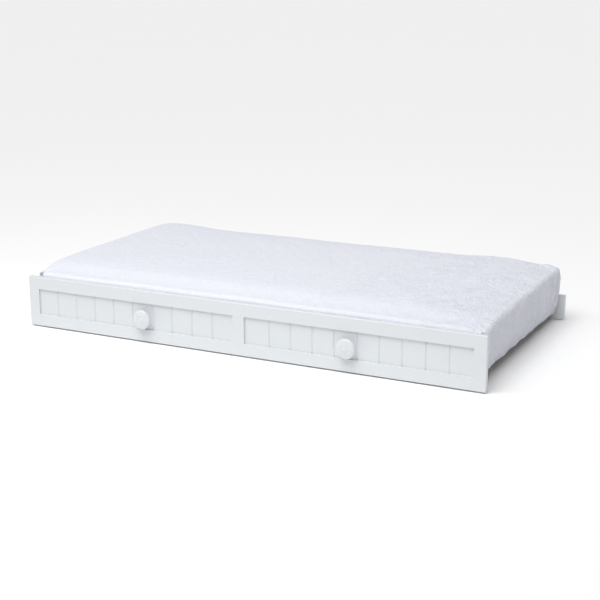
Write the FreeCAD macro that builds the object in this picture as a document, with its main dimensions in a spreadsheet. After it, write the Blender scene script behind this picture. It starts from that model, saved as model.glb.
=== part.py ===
import FreeCAD, Part
import math
import os

import Sketcher
from FreeCAD import Placement, Rotation, Vector

# Twin trundle bed: a low bed on six fixed casters that rolls out from under a daybed.
# A framed beadboard front panel with two knobs and a plain rear rail are joined by two side
# boards. Cleats carry a slat deck, which carries a mattress under a tucked coverlet.
#
# Frame: X along the length, -Y out of the front panel, +Z up from the floor. The origin is
# below the middle of the whole bed, knobs included.

doc = FreeCAD.newDocument("TrundleBed")

# ---------------------------------------------------------------------------------------
# Driving dimensions, in millimetres
# ---------------------------------------------------------------------------------------
DIMENSIONS = [
    ("overall_length", 1889.8, "length of the front panel and the rear rail"),
    ("frame_depth", 1016, "front panel's face to rear rail's back"),
    ("front_top", 203.2, "top of the front panel above the floor"),
    ("floor_gap", 6, "gap under the front panel and the rear rail"),
    ("board_thickness", 19, "front panel members and rear rail"),
    ("end_stile_width", 46, ""),
    ("centre_stile_width", 48, ""),
    ("top_rail_width", 48, ""),
    ("bottom_rail_width", 46, ""),
    ("edge_round", 3, "rounding of the panel's and the rail's outer edges"),
    ("panel_setback", 7, "beadboard face behind the frame's face"),
    ("tongue_thickness", 6, "tongues and the grooves that take them"),
    ("groove_depth", 8, ""),
    ("panel_play", 0.5, "gap around a beadboard panel, for movement"),
    ("boards_per_panel", 10, ""),
    ("right_first_board", 102, "first board of the right panel, the widest of its ten"),
    ("bead_width", 9, "V groove between two boards"),
    ("bead_depth", 3, ""),
    ("knob_projection", 31, "front of the knobs beyond the panel's face"),
    ("knob_side_step", 12, "knob's centre to the right of its board's middle"),
    ("knob_drop", 8, "knob's centre below the middle of the opening"),
    ("knob_foot_radius", 16, ""),
    ("knob_foot_height", 3, ""),
    ("knob_neck_radius", 11.5, ""),
    ("knob_neck_height", 9, "top of the curve from the foot to the neck"),
    ("knob_neck_curve", 8.4, "radius of that curve"),
    ("knob_hollow_curve", 35, "radius of the hollow under the rim"),
    ("knob_rim_radius", 37, ""),
    ("knob_rim_back", 22, "height of the rim's back edge"),
    ("knob_rim_front", 31, "height of the rim's front edge"),
    ("knob_rim_bulge", 2.5, "rounding of the rim beyond those edges"),
    ("knob_face_curve", 58, "radius of the face's curve outside the ring"),
    ("knob_ring_radius", 14, "ring turned into the knob's face"),
    ("knob_ring_width", 3, ""),
    ("knob_ring_depth", 1, ""),
    ("knob_ring_height", 36.3, ""),
    ("knob_dome_curve", 72, "radius of the face's curve inside the ring"),
    ("rail_above_deck", 6, "top of the rear rail above the slat deck"),
    ("rail_corner_round", 12, "lower corners of the rear rail"),
    ("side_inset", 52, "side board's outer face in from the panel's end"),
    ("side_thickness", 18, ""),
    ("side_height", 56, ""),
    ("cleat_thickness", 22, ""),
    ("cleat_height", 60, ""),
    ("block_length", 72, "caster block"),
    ("block_depth", 62, ""),
    ("block_height", 22, ""),
    ("caster_spread", 1560, "between the outer casters' centres"),
    ("slat_count", 12, ""),
    ("slat_width", 70, ""),
    ("slat_thickness", 18, ""),
    ("slat_round", 3, ""),
    ("slat_end_gap", 2, "slat's end to the panel or the rail"),
    ("end_slat_gap", 8, "end slat to the side board"),
    ("strap_width", 25, ""),
    ("strap_thickness", 1.2, ""),
    ("strap_inset", 150, "strap's middle to the panel or the rail"),
    ("staple_crown", 12, ""),
    ("staple_wire", 1, ""),
    ("staple_leg", 8, ""),
    ("bracket_leg", 38, "steel corner bracket"),
    ("bracket_height", 28, ""),
    ("bracket_thickness", 2, ""),
    ("bracket_drop", 6, "bracket's top below the slats"),
    ("bracket_near_screw", 15, "bracket's screws out from its corner"),
    ("bracket_far_screw", 31, ""),
    ("wheel_diameter", 46, ""),
    ("wheel_width", 18, ""),
    ("wheel_headroom", 10, "tread to the caster's plate"),
    ("wheel_side_play", 0.4, "hub's end to the fork"),
    ("hub_radius", 8, ""),
    ("hub_length", 21.2, ""),
    ("tread_depth", 7, ""),
    ("web_thickness", 9, ""),
    ("tread_round", 3, ""),
    ("plate_side", 54, "caster's square plate"),
    ("plate_thickness", 2, "caster's plate and fork"),
    ("plate_round", 5, ""),
    ("plate_hole_inset", 7, ""),
    ("fork_width", 26, "fork's leg at the plate"),
    ("fork_eye_radius", 8, "fork's leg around the axle"),
    ("axle_radius", 3, ""),
    ("axle_play", 0.05, "radial running clearance of a wheel"),
    ("rivet_head_radius", 5, ""),
    ("rivet_head_height", 1.6, ""),
    ("screw_radius", 2, "wood screw's shank"),
    ("screw_head_radius", 4, ""),
    ("screw_head_height", 2, ""),
    ("block_screw_length", 16, "caster and bracket screws"),
    ("cleat_screw_length", 36, ""),
    ("slat_screw_length", 40, ""),
    ("slat_screw_inset", 17.5, "slat's screw in from its edge"),
    ("caster_head_radius", 3.5, "caster screw's pan head"),
    ("knob_screw_radius", 2.5, ""),
    ("knob_screw_grip", 18, "knob screw's length inside the knob"),
    ("mattress_end_inset", 19.9, "mattress's end in from the panel's end"),
    ("mattress_side_gap", 6, "mattress to the panel or the rail"),
    ("mattress_thickness", 150, ""),
    ("mattress_round", 22, ""),
    ("rest_clearance", 0.3, "between the deck and the mattress"),
    ("cover_thickness", 2.5, ""),
    ("cover_clearance", 0.4, "coverlet to mattress"),
    ("tuck_above_deck", 4, "coverlet's tucked edges above the slat deck"),
    ("skirt_hem", 36, "coverlet's hem above the floor at both ends"),
]

dims = doc.addObject("Spreadsheet::Sheet", "Dims")
for row, (alias, size, note) in enumerate(DIMENSIONS, start=1):
    dims.set(f"A{row}", alias.replace("_", " "))
    dims.set(f"B{row}", str(size))
    dims.set(f"C{row}", note)
    dims.setAlias(f"B{row}", alias)
doc.recompute()


def size_of(expression):
    """The present value of a size or an expression of sizes."""
    return float(dims.evalExpression(str(expression)))


# Levels and faces that several pieces share, as expressions of the sheet's cells.
FRONT_Y = "(Dims.knob_projection - Dims.frame_depth) / 2"
PANEL_BACK_Y = f"({FRONT_Y} + Dims.board_thickness)"
REAR_Y = f"({FRONT_Y} + Dims.frame_depth)"
RAIL_FRONT_Y = f"({REAR_Y} - Dims.board_thickness)"
WELL_DEPTH = "(Dims.frame_depth - 2 * Dims.board_thickness)"
BLOCK_BOTTOM_Z = "(Dims.wheel_diameter + Dims.wheel_headroom + Dims.plate_thickness)"
SLAT_BOTTOM_Z = f"({BLOCK_BOTTOM_Z} + Dims.block_height)"
DECK_Z = f"({SLAT_BOTTOM_Z} + Dims.slat_thickness)"
SIDE_OUTER_X = "(Dims.overall_length / 2 - Dims.side_inset)"
SIDE_INNER_X = f"({SIDE_OUTER_X} - Dims.side_thickness)"
OPENING_BOTTOM_Z = "(Dims.floor_gap + Dims.bottom_rail_width)"
OPENING_HEIGHT = f"(Dims.front_top - Dims.top_rail_width - {OPENING_BOTTOM_Z})"
OPENING_WIDTH = "((Dims.overall_length - Dims.centre_stile_width) / 2 - Dims.end_stile_width)"
LEFT_PITCH = f"({OPENING_WIDTH} / Dims.boards_per_panel)"
RIGHT_PITCH = f"(({OPENING_WIDTH} - Dims.right_first_board) / (Dims.boards_per_panel - 1))"
CENTRE_STILE_X = "(Dims.centre_stile_width / 2)"

# Directions
RIGHT = Vector(1, 0, 0)
REARWARD = Vector(0, 1, 0)
UP = Vector(0, 0, 1)

nodes = []


# ---------------------------------------------------------------------------------------
# Ways of making a piece
# ---------------------------------------------------------------------------------------
def node(piece, label):
    """Name a finished sub-part and add it to the bed."""
    piece.Label = label
    nodes.append(piece)
    return piece


def put(piece, corner):
    """Bind a piece's position to expressions of the sheet."""
    for axis, place in zip("xyz", corner):
        piece.setExpression(f"Placement.Base.{axis}", str(place))


def box(name, lengths, corner):
    """Plain board: lengths along X, Y and Z from its low corner."""
    piece = doc.addObject("Part::Box", name)
    for side, length in zip(("Length", "Width", "Height"), lengths):
        piece.setExpression(side, str(length))
    put(piece, corner)
    return piece


def rod(name, radius, length, start, direction):
    """Round bar that runs from a start point along a direction."""
    piece = doc.addObject("Part::Cylinder", name)
    piece.Placement = Placement(Vector(), Rotation(UP, direction))
    piece.setExpression("Radius", str(radius))
    piece.setExpression("Height", str(length))
    put(piece, start)
    return piece


def countersunk_head(name, start, direction):
    """Cone that narrows from the board's face to the screw's shank."""
    piece = doc.addObject("Part::Cone", name)
    piece.Placement = Placement(Vector(), Rotation(UP, direction))
    piece.setExpression("Radius1", "Dims.screw_head_radius")
    piece.setExpression("Radius2", "Dims.screw_radius")
    piece.setExpression("Height", "Dims.screw_head_height")
    put(piece, start)
    return piece


def merged(name, pieces):
    """One shape made of several that touch or stand apart."""
    whole = doc.addObject("Part::MultiFuse", name)
    whole.Shapes = pieces
    return whole


def cut_away(name, base, tools):
    """A piece with one or more others taken out of it, so that they fit it exactly."""
    tool = tools[0]
    if len(tools) > 1:
        tool = doc.addObject("Part::Compound", f"{name}_tools")
        tool.Links = tools
    piece = doc.addObject("Part::Cut", name)
    piece.Base = base
    piece.Tool = tool
    return piece


def flat_screws(name, faces, length):
    """Countersunk wood screws; each face is the head's centre and the direction driven."""
    parts = []
    for count, (start, direction) in enumerate(faces, start=1):
        parts.append(rod(f"{name}_shank_{count}", "Dims.screw_radius", length, start, direction))
        parts.append(countersunk_head(f"{name}_head_{count}", start, direction))
    return merged(name, parts)


def new_body(name, corner):
    body = doc.addObject("PartDesign::Body", name)
    put(body, corner)
    return body


def sketch_on(body, name, role, lift="0"):
    """Sketch on one of the body's own origin planes, lifted along the plane's normal."""
    sketch = body.newObject("Sketcher::SketchObject", name)
    plane = next(item for item in body.Origin.OriginFeatures if item.Role == role)
    sketch.AttachmentSupport = [(plane, "")]
    sketch.MapMode = "FlatFace"
    sketch.setExpression("AttachmentOffset.Base.z", str(lift))
    return sketch


def fix(sketch, kind, geometry, point, expression):
    """Dimension one end of a line or arc from the sketch's origin."""
    number = sketch.addConstraint(
        Sketcher.Constraint(kind, -1, 1, geometry, point, size_of(expression)))
    sketch.setExpression(f"Constraints[{number}]", str(expression))


def outline(sketch, steps):
    """Draw a closed outline through the steps.

    A step is (x, y) for a straight edge that ends there, or (x, y, radius, side) for an arc
    of that radius that ends there, with its centre on the left or right of the way along.
    """
    first = sketch.GeometryCount
    ends = [Vector(size_of(step[0]), size_of(step[1]), 0) for step in steps]
    joints = []
    for number, step in enumerate(steps):
        start = ends[number - 1]
        end = ends[number]
        if len(step) == 2:
            sketch.addGeometry(Part.LineSegment(start, end))
            joints.append((1, 2))
            continue
        radius = size_of(step[2])
        left = step[3] == "left"
        chord = end - start
        across = Vector(-chord.y, chord.x, 0).normalize()
        reach = math.sqrt(max(radius ** 2 - (chord.Length / 2) ** 2, 0))
        centre = (start + end) / 2 + across * (reach if left else -reach)
        low, high = (start, end) if left else (end, start)
        circle = Part.Circle(centre, UP, radius)
        sketch.addGeometry(Part.ArcOfCircle(circle, circle.parameter(low), circle.parameter(high)))
        joints.append((1, 2) if left else (2, 1))
    total = len(steps)
    for number, step in enumerate(steps):
        after = (number + 1) % total
        this_end = joints[number][1]
        next_start = joints[after][0]
        sketch.addConstraint(
            Sketcher.Constraint("Coincident", first + number, this_end, first + after, next_start))
        fix(sketch, "DistanceX", first + number, this_end, step[0])
        fix(sketch, "DistanceY", first + number, this_end, step[1])
        if len(step) == 4:
            bend = sketch.addConstraint(
                Sketcher.Constraint("Radius", first + number, size_of(step[2])))
            sketch.setExpression(f"Constraints[{bend}]", str(step[2]))


def rectangle(low_x, low_y, high_x, high_y):
    """Steps of a plain rectangle."""
    return [(high_x, low_y), (high_x, high_y), (low_x, high_y), (low_x, low_y)]


def rounded_rectangle(low_x, low_y, high_x, high_y, low_round, high_round):
    """Steps of a rectangle with one radius at its two lower corners and one at the upper."""
    return [
        (f"{high_x} - {low_round}", low_y),
        (high_x, f"{low_y} + {low_round}", low_round, "left"),
        (high_x, f"{high_y} - {high_round}"),
        (f"{high_x} - {high_round}", high_y, high_round, "left"),
        (f"{low_x} + {high_round}", high_y),
        (low_x, f"{high_y} - {high_round}", high_round, "left"),
        (low_x, f"{low_y} + {low_round}"),
        (f"{low_x} + {low_round}", low_y, low_round, "left"),
    ]


def hole(sketch, x, y, radius):
    """Add a round hole to a sketch."""
    number = sketch.addGeometry(
        Part.Circle(Vector(size_of(x), size_of(y), 0), UP, size_of(radius)))
    fix(sketch, "DistanceX", number, 3, x)
    fix(sketch, "DistanceY", number, 3, y)
    bend = sketch.addConstraint(Sketcher.Constraint("Radius", number, size_of(radius)))
    sketch.setExpression(f"Constraints[{bend}]", str(radius))


def pad(body, name, sketch, length, backwards=False):
    feature = body.newObject("PartDesign::Pad", name)
    feature.Profile = sketch
    feature.setExpression("Length", str(length))
    feature.Reversed = backwards
    doc.recompute()
    return feature


def pocket_through(body, name, sketch):
    """Cut a sketch right through the body, both ways from its plane."""
    volume_before = body.Shape.Volume
    feature = body.newObject("PartDesign::Pocket", name)
    feature.Profile = sketch
    feature.Type = "ThroughAll"
    feature.SideType = "Symmetric"
    doc.recompute()
    if feature.Shape.Volume >= volume_before:
        raise RuntimeError(f"{name} cuts nothing")
    return feature


def turn(body, name, sketch, axis):
    """Revolve a sketch a full turn about one of its own axes."""
    feature = body.newObject("PartDesign::Revolution", name)
    feature.Profile = sketch
    feature.ReferenceAxis = (sketch, [axis])
    feature.Angle = 360
    doc.recompute()
    return feature


def round_edges(body, name, feature, radius, wanted):
    """Round the straight edges that a test picks by direction and middle point."""
    picked = []
    for number, edge in enumerate(feature.Shape.Edges, start=1):
        if edge.Curve.TypeId != "Part::GeomLine":
            continue
        start = edge.Vertexes[0].Point
        end = edge.Vertexes[-1].Point
        direction = (end - start).normalize()
        if wanted(direction, (start + end) / 2):
            picked.append(f"Edge{number}")
    rounding = body.newObject("PartDesign::Fillet", name)
    rounding.Base = (feature, picked)
    rounding.setExpression("Radius", str(radius))
    doc.recompute()
    return rounding


def along(direction, axis):
    return abs(direction.dot(axis)) > 0.999


# ---------------------------------------------------------------------------------------
# Front panel: a grooved frame of two rails and three stiles, with tongues at the joints.
# In each member's own frame, y runs from the panel's face to its back.
# ---------------------------------------------------------------------------------------
TONGUE_FRONT = "Dims.panel_setback"
TONGUE_BACK = "(Dims.panel_setback + Dims.tongue_thickness)"
RAIL_LENGTH = "(Dims.overall_length - 2 * Dims.end_stile_width)"


def front_rail(name, width, z, groove_up):
    """Rail between the end stiles, with a groove along one edge and a tongue at each end."""
    body = new_body(name, (f"-{RAIL_LENGTH} / 2", FRONT_Y, z))
    section = sketch_on(body, f"{name}_section", "YZ_Plane")
    steps = [("0", "0"), ("Dims.board_thickness", "0"), ("Dims.board_thickness", width), ("0", width)]
    if groove_up:
        floor = f"{width} - Dims.groove_depth"
        groove = [(TONGUE_BACK, width), (TONGUE_BACK, floor), (TONGUE_FRONT, floor), (TONGUE_FRONT, width)]
        steps = steps[:3] + groove + steps[3:]
    else:
        floor = "Dims.groove_depth"
        groove = [(TONGUE_FRONT, "0"), (TONGUE_FRONT, floor), (TONGUE_BACK, floor), (TONGUE_BACK, "0")]
        steps = steps[:1] + groove + steps[1:]
    outline(section, steps)
    plain = pad(body, f"{name}_length", section, RAIL_LENGTH)
    last = plain
    if not groove_up:
        top = size_of(width)
        last = round_edges(
            body, f"{name}_rounding", plain, "Dims.edge_round",
            lambda way, middle: along(way, RIGHT) and middle.z > top - 0.01)
    tongue = sketch_on(body, f"{name}_tongue", "YZ_Plane", "-Dims.groove_depth")
    tongue_top = f"{width} - Dims.groove_depth"
    outline(tongue, rectangle(TONGUE_FRONT, "Dims.groove_depth", TONGUE_BACK, tongue_top))
    pad(body, f"{name}_tongues", tongue, f"{RAIL_LENGTH} + 2 * Dims.groove_depth")
    return body


def end_stile(name, side):
    """Full-height stile; side is -1 at the left end and +1 at the right."""
    body = new_body(name, (f"{side} * Dims.overall_length / 2", FRONT_Y, "Dims.floor_gap"))
    section = sketch_on(body, f"{name}_section", "XY_Plane")
    inner = f"{-side} * Dims.end_stile_width"
    height = "(Dims.front_top - Dims.floor_gap)"
    outline(section, [
        ("0", "0"), (inner, "0"), (inner, "Dims.board_thickness"), ("0", "Dims.board_thickness")])
    plain = pad(body, f"{name}_height", section, height)
    top = size_of(height)
    rounded = round_edges(
        body, f"{name}_rounding", plain, "Dims.edge_round",
        lambda way, middle: (middle.z > top - 0.01 and abs(middle.x) < abs(size_of(inner)) - 0.01)
        or (along(way, UP) and abs(middle.x) < 0.01))
    volume_before = rounded.Shape.Volume
    slot = sketch_on(body, f"{name}_groove", "YZ_Plane", f"{inner} + {side} * Dims.groove_depth")
    slot_top = f"{height} - Dims.groove_depth"
    outline(slot, rectangle(TONGUE_FRONT, "Dims.groove_depth", TONGUE_BACK, slot_top))
    groove = body.newObject("PartDesign::Pocket", f"{name}_grooving")
    groove.Profile = slot
    groove.Type = "ThroughAll"
    groove.Reversed = side < 0
    doc.recompute()
    if groove.Shape.Volume >= volume_before:
        raise RuntimeError(f"{name} has no groove")
    return body


def centre_stile():
    """Stile between the two rails, grooved on both sides, with a tongue at each end."""
    body = new_body("centre_stile_body", (0, FRONT_Y, OPENING_BOTTOM_Z))
    section = sketch_on(body, "centre_stile_section", "XY_Plane")
    half = CENTRE_STILE_X
    floor = f"({half} - Dims.groove_depth)"
    outline(section, [
        (half, "0"), (half, TONGUE_FRONT), (floor, TONGUE_FRONT), (floor, TONGUE_BACK), (half, TONGUE_BACK),
        (half, "Dims.board_thickness"), (f"-{half}", "Dims.board_thickness"),
        (f"-{half}", TONGUE_BACK), (f"-{floor}", TONGUE_BACK), (f"-{floor}", TONGUE_FRONT),
        (f"-{half}", TONGUE_FRONT), (f"-{half}", "0")])
    pad(body, "centre_stile_height", section, OPENING_HEIGHT)
    tongue = sketch_on(body, "centre_stile_tongue", "XY_Plane", "-Dims.groove_depth")
    outline(tongue, rectangle(f"-{floor}", TONGUE_FRONT, floor, TONGUE_BACK))
    pad(body, "centre_stile_tongues", tongue, f"{OPENING_HEIGHT} + 2 * Dims.groove_depth")
    return body


top_rail = front_rail("top_rail_body", "Dims.top_rail_width", "Dims.front_top - Dims.top_rail_width", False)
node(top_rail, "front_top_rail")
bottom_rail = front_rail("bottom_rail_body", "Dims.bottom_rail_width", "Dims.floor_gap", True)
node(end_stile("left_stile_body", -1), "front_left_stile")
node(centre_stile(), "front_centre_stile")
node(end_stile("right_stile_body", 1), "front_right_stile")


# Beadboard panels: ten boards wide, with a V groove between each two. The front layer's
# edges are the tongues; the back layer fills the opening flush with the frame's back. The
# first board's width is given, and the others share the rest.
def beadboard(name, low_x, first_board, pitch):
    tongue = "(Dims.groove_depth - Dims.panel_play)"
    body = new_body(name, (low_x, f"{FRONT_Y} + Dims.panel_setback", OPENING_BOTTOM_Z))
    core = sketch_on(body, f"{name}_core", "XY_Plane", "Dims.panel_play")
    back = "(Dims.board_thickness - Dims.panel_setback)"
    outline(core, rectangle("Dims.panel_play", "0", f"{OPENING_WIDTH} - Dims.panel_play", back))
    pad(body, f"{name}_core_height", core, f"{OPENING_HEIGHT} - 2 * Dims.panel_play")
    face = sketch_on(body, f"{name}_face", "XY_Plane", f"-{tongue}")
    outline(face, rectangle(f"-{tongue}", "0", f"{OPENING_WIDTH} + {tongue}", "Dims.tongue_thickness"))
    pad(body, f"{name}_face_height", face, f"{OPENING_HEIGHT} + 2 * {tongue}")
    bead = sketch_on(body, f"{name}_bead", "XY_Plane")
    outline(bead, [
        (f"{first_board} + Dims.bead_width / 2", "0"),
        (first_board, "Dims.bead_depth"),
        (f"{first_board} - Dims.bead_width / 2", "0")])
    first_bead = pocket_through(body, f"{name}_first_bead", bead)
    beads = body.newObject("PartDesign::LinearPattern", f"{name}_beads")
    beads.Originals = [first_bead]
    beads.Direction = (bead, ["H_Axis"])
    beads.setExpression("Length", f"{pitch} * (Dims.boards_per_panel - 2)")
    beads.setExpression("Occurrences", "Dims.boards_per_panel - 1")
    body.Tip = beads
    doc.recompute()
    return body


LEFT_PANEL_X = f"(-{CENTRE_STILE_X} - {OPENING_WIDTH})"
left_panel = beadboard("left_panel_body", LEFT_PANEL_X, LEFT_PITCH, LEFT_PITCH)
right_panel = beadboard("right_panel_body", CENTRE_STILE_X, "Dims.right_first_board", RIGHT_PITCH)

# ---------------------------------------------------------------------------------------
# Knobs: turned mushrooms, each on the middle board of its panel. Each is held by a machine
# screw, let in flush from the panel's back.
# ---------------------------------------------------------------------------------------
MIDDLE_BOARD = "(floor(Dims.boards_per_panel / 2) - 0.5)"
LEFT_KNOB_X = f"(-{CENTRE_STILE_X} - {LEFT_PITCH} * {MIDDLE_BOARD} + Dims.knob_side_step)"
RIGHT_BOARD_X = f"(Dims.right_first_board + {RIGHT_PITCH} * ({MIDDLE_BOARD} - 1))"
RIGHT_KNOB_X = f"({CENTRE_STILE_X} + {RIGHT_BOARD_X} + Dims.knob_side_step)"
KNOB_Z = f"({OPENING_BOTTOM_Z} + {OPENING_HEIGHT} / 2 - Dims.knob_drop)"
KNOB_HEIGHT = "(Dims.knob_projection + Dims.panel_setback)"
RIM_EDGE_RADIUS = "(Dims.knob_rim_radius - Dims.knob_rim_bulge)"
RIM_HALF_HEIGHT = "((Dims.knob_rim_front - Dims.knob_rim_back) / 2)"
RIM_CURVE = f"(({RIM_HALF_HEIGHT}^2 + Dims.knob_rim_bulge^2) / (2 * Dims.knob_rim_bulge))"
KNOB_SCREW_HEAD_RADIUS = "(2 * Dims.knob_screw_radius)"
KNOB_SCREW_HEAD_HEIGHT = "(1.2 * Dims.knob_screw_radius)"


def knob(name, x):
    """Foot, hollow neck, wide rounded rim and a low dome with one ring turned into it."""
    body = new_body(name, (x, f"{FRONT_Y} + Dims.panel_setback", KNOB_Z))
    profile = sketch_on(body, f"{name}_profile", "XY_Plane")
    outline(profile, [
        ("Dims.knob_screw_radius", "0"),
        ("Dims.knob_foot_radius", "0"),
        ("Dims.knob_foot_radius", "-Dims.knob_foot_height"),
        ("Dims.knob_neck_radius", "-Dims.knob_neck_height", "Dims.knob_neck_curve", "left"),
        (RIM_EDGE_RADIUS, "-Dims.knob_rim_back", "Dims.knob_hollow_curve", "left"),
        (RIM_EDGE_RADIUS, "-Dims.knob_rim_front", RIM_CURVE, "right"),
        ("Dims.knob_ring_radius + Dims.knob_ring_width / 2", "-Dims.knob_ring_height",
         "Dims.knob_face_curve", "right"),
        ("Dims.knob_ring_radius", "Dims.knob_ring_depth - Dims.knob_ring_height"),
        ("Dims.knob_ring_radius - Dims.knob_ring_width / 2", "-Dims.knob_ring_height"),
        ("0", f"-{KNOB_HEIGHT}", "Dims.knob_dome_curve", "right"),
        ("0", "-Dims.knob_screw_grip"),
        ("Dims.knob_screw_radius", "-Dims.knob_screw_grip"),
    ])
    turn(body, f"{name}_turning", profile, "V_Axis")
    return body


def knob_screw(name, x):
    """Pan-headed machine screw, driven forwards from the panel's back."""
    shank_length = "(Dims.board_thickness - Dims.panel_setback + Dims.knob_screw_grip)"
    start = (x, PANEL_BACK_Y, KNOB_Z)
    shank = rod(f"{name}_shank", "Dims.knob_screw_radius", shank_length, start, -REARWARD)
    head = rod(f"{name}_head", KNOB_SCREW_HEAD_RADIUS, KNOB_SCREW_HEAD_HEIGHT, start, -REARWARD)
    return [shank, head]


node(knob("left_knob_body", LEFT_KNOB_X), "left_knob")
node(knob("right_knob_body", RIGHT_KNOB_X), "right_knob")
knob_screw_parts = knob_screw("left_knob", LEFT_KNOB_X) + knob_screw("right_knob", RIGHT_KNOB_X)
knob_screws = merged("knob_screw_pair", knob_screw_parts)
node(knob_screws, "knob_screws")
node(cut_away("left_panel_bored", left_panel, [knob_screws]), "left_beadboard_panel")
node(cut_away("right_panel_bored", right_panel, [knob_screws]), "right_beadboard_panel")

# ---------------------------------------------------------------------------------------
# Cleats: boards screwed inside the front panel and the rear rail. The slats lie on their
# top edges, and the corner brackets and caster blocks are fixed to them.
# ---------------------------------------------------------------------------------------
CLEAT_BOTTOM_Z = f"({SLAT_BOTTOM_Z} - Dims.cleat_height)"
FRONT_CLEAT_INNER_Y = f"({PANEL_BACK_Y} + Dims.cleat_thickness)"
REAR_CLEAT_INNER_Y = f"({RAIL_FRONT_Y} - Dims.cleat_thickness)"
CLEAT_SCREW_Z = f"({OPENING_BOTTOM_Z} - 2 * Dims.groove_depth)"
CLEAT_SCREW_STATIONS = (-0.45, -0.3, -0.12, 0.12, 0.3, 0.45)

cleat_lengths = (f"2 * {SIDE_INNER_X}", "Dims.cleat_thickness", "Dims.cleat_height")
front_cleat = box("front_cleat_board", cleat_lengths, (f"-{SIDE_INNER_X}", PANEL_BACK_Y, CLEAT_BOTTOM_Z))
rear_cleat_corner = (f"-{SIDE_INNER_X}", REAR_CLEAT_INNER_Y, CLEAT_BOTTOM_Z)
rear_cleat = box("rear_cleat_board", cleat_lengths, rear_cleat_corner)

cleat_screw_faces = []
for station in CLEAT_SCREW_STATIONS:
    x = f"{station} * 2 * {SIDE_INNER_X}"
    cleat_screw_faces.append(((x, FRONT_CLEAT_INNER_Y, CLEAT_SCREW_Z), -REARWARD))
    cleat_screw_faces.append(((x, REAR_CLEAT_INNER_Y, CLEAT_SCREW_Z), REARWARD))
cleat_screws = flat_screws("cleat_screw_set", cleat_screw_faces, "Dims.cleat_screw_length")
node(cleat_screws, "cleat_screws")
node(cut_away("bottom_rail_bored", bottom_rail, [cleat_screws]), "front_bottom_rail")

# ---------------------------------------------------------------------------------------
# Rear rail: a plain board along the back, its lower corners rounded more than the upper
# ---------------------------------------------------------------------------------------
rear_body = new_body("rear_rail_body", (0, REAR_Y, "Dims.floor_gap"))
rear_section = sketch_on(rear_body, "rear_rail_face", "XZ_Plane")
outline(rear_section, rounded_rectangle(
    "-Dims.overall_length / 2", "0", "Dims.overall_length / 2",
    f"({DECK_Z} + Dims.rail_above_deck - Dims.floor_gap)", "Dims.rail_corner_round", "Dims.edge_round"))
pad(rear_body, "rear_rail_thickness", rear_section, "Dims.board_thickness")
node(cut_away("rear_rail_bored", rear_body, [cleat_screws]), "rear_rail")

# ---------------------------------------------------------------------------------------
# Side boards: set in from the ends, between the front panel and the rear rail, with their
# top edges level with the slats. Steel angle brackets tie them to the cleats.
# ---------------------------------------------------------------------------------------
BRACKET_TOP_Z = f"({SLAT_BOTTOM_Z} - Dims.bracket_drop)"
BRACKET_BOTTOM_Z = f"({BRACKET_TOP_Z} - Dims.bracket_height)"
BRACKET_MIDDLE_Z = f"({BRACKET_TOP_Z} - Dims.bracket_height / 2)"


def corner_bracket(name, side, end):
    """Steel angle; side is -1 or +1 along X, end is -1 at the front and +1 at the rear."""
    inner_y = FRONT_CLEAT_INNER_Y if end < 0 else REAR_CLEAT_INNER_Y
    body = new_body(name, (f"{side} * {SIDE_INNER_X}", inner_y, BRACKET_BOTTOM_Z))
    section = sketch_on(body, f"{name}_section", "XY_Plane")
    long_x = f"{-side} * Dims.bracket_leg"
    thin_x = f"{-side} * Dims.bracket_thickness"
    long_y = f"{-end} * Dims.bracket_leg"
    thin_y = f"{-end} * Dims.bracket_thickness"
    outline(section, [
        ("0", "0"), (long_x, "0"), (long_x, thin_y), (thin_x, thin_y), (thin_x, long_y), ("0", long_y)])
    pad(body, f"{name}_height", section, "Dims.bracket_height")
    return body


bracket_bodies = []
bracket_screw_faces = []
for side in (-1, 1):
    for end in (-1, 1):
        bracket_bodies.append(corner_bracket(f"bracket_{len(bracket_bodies) + 1}", side, end))
        inner_y = FRONT_CLEAT_INNER_Y if end < 0 else REAR_CLEAT_INNER_Y
        for reach in ("Dims.bracket_near_screw", "Dims.bracket_far_screw"):
            on_cleat_x = f"{side} * ({SIDE_INNER_X} - {reach})"
            on_cleat_y = f"{inner_y} - {end} * Dims.bracket_thickness"
            bracket_screw_faces.append(((on_cleat_x, on_cleat_y, BRACKET_MIDDLE_Z), REARWARD * end))
            on_side_x = f"{side} * ({SIDE_INNER_X} - Dims.bracket_thickness)"
            on_side_y = f"{inner_y} - {end} * {reach}"
            bracket_screw_faces.append(((on_side_x, on_side_y, BRACKET_MIDDLE_Z), RIGHT * side))
bracket_screws = flat_screws("bracket_screw_set", bracket_screw_faces, "Dims.block_screw_length")
node(bracket_screws, "bracket_screws")
bracket_group = merged("bracket_set", bracket_bodies)
node(cut_away("brackets_bored", bracket_group, [bracket_screws]), "corner_brackets")

side_lengths = ("Dims.side_thickness", WELL_DEPTH, "Dims.side_height")
SIDE_BOTTOM_Z = f"({DECK_Z} - Dims.side_height)"
left_side = box("left_side_plain", side_lengths, (f"-{SIDE_OUTER_X}", PANEL_BACK_Y, SIDE_BOTTOM_Z))
right_side = box("right_side_plain", side_lengths, (SIDE_INNER_X, PANEL_BACK_Y, SIDE_BOTTOM_Z))
node(cut_away("left_side_bored", left_side, [bracket_screws]), "left_side_board")
node(cut_away("right_side_bored", right_side, [bracket_screws]), "right_side_board")

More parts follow.
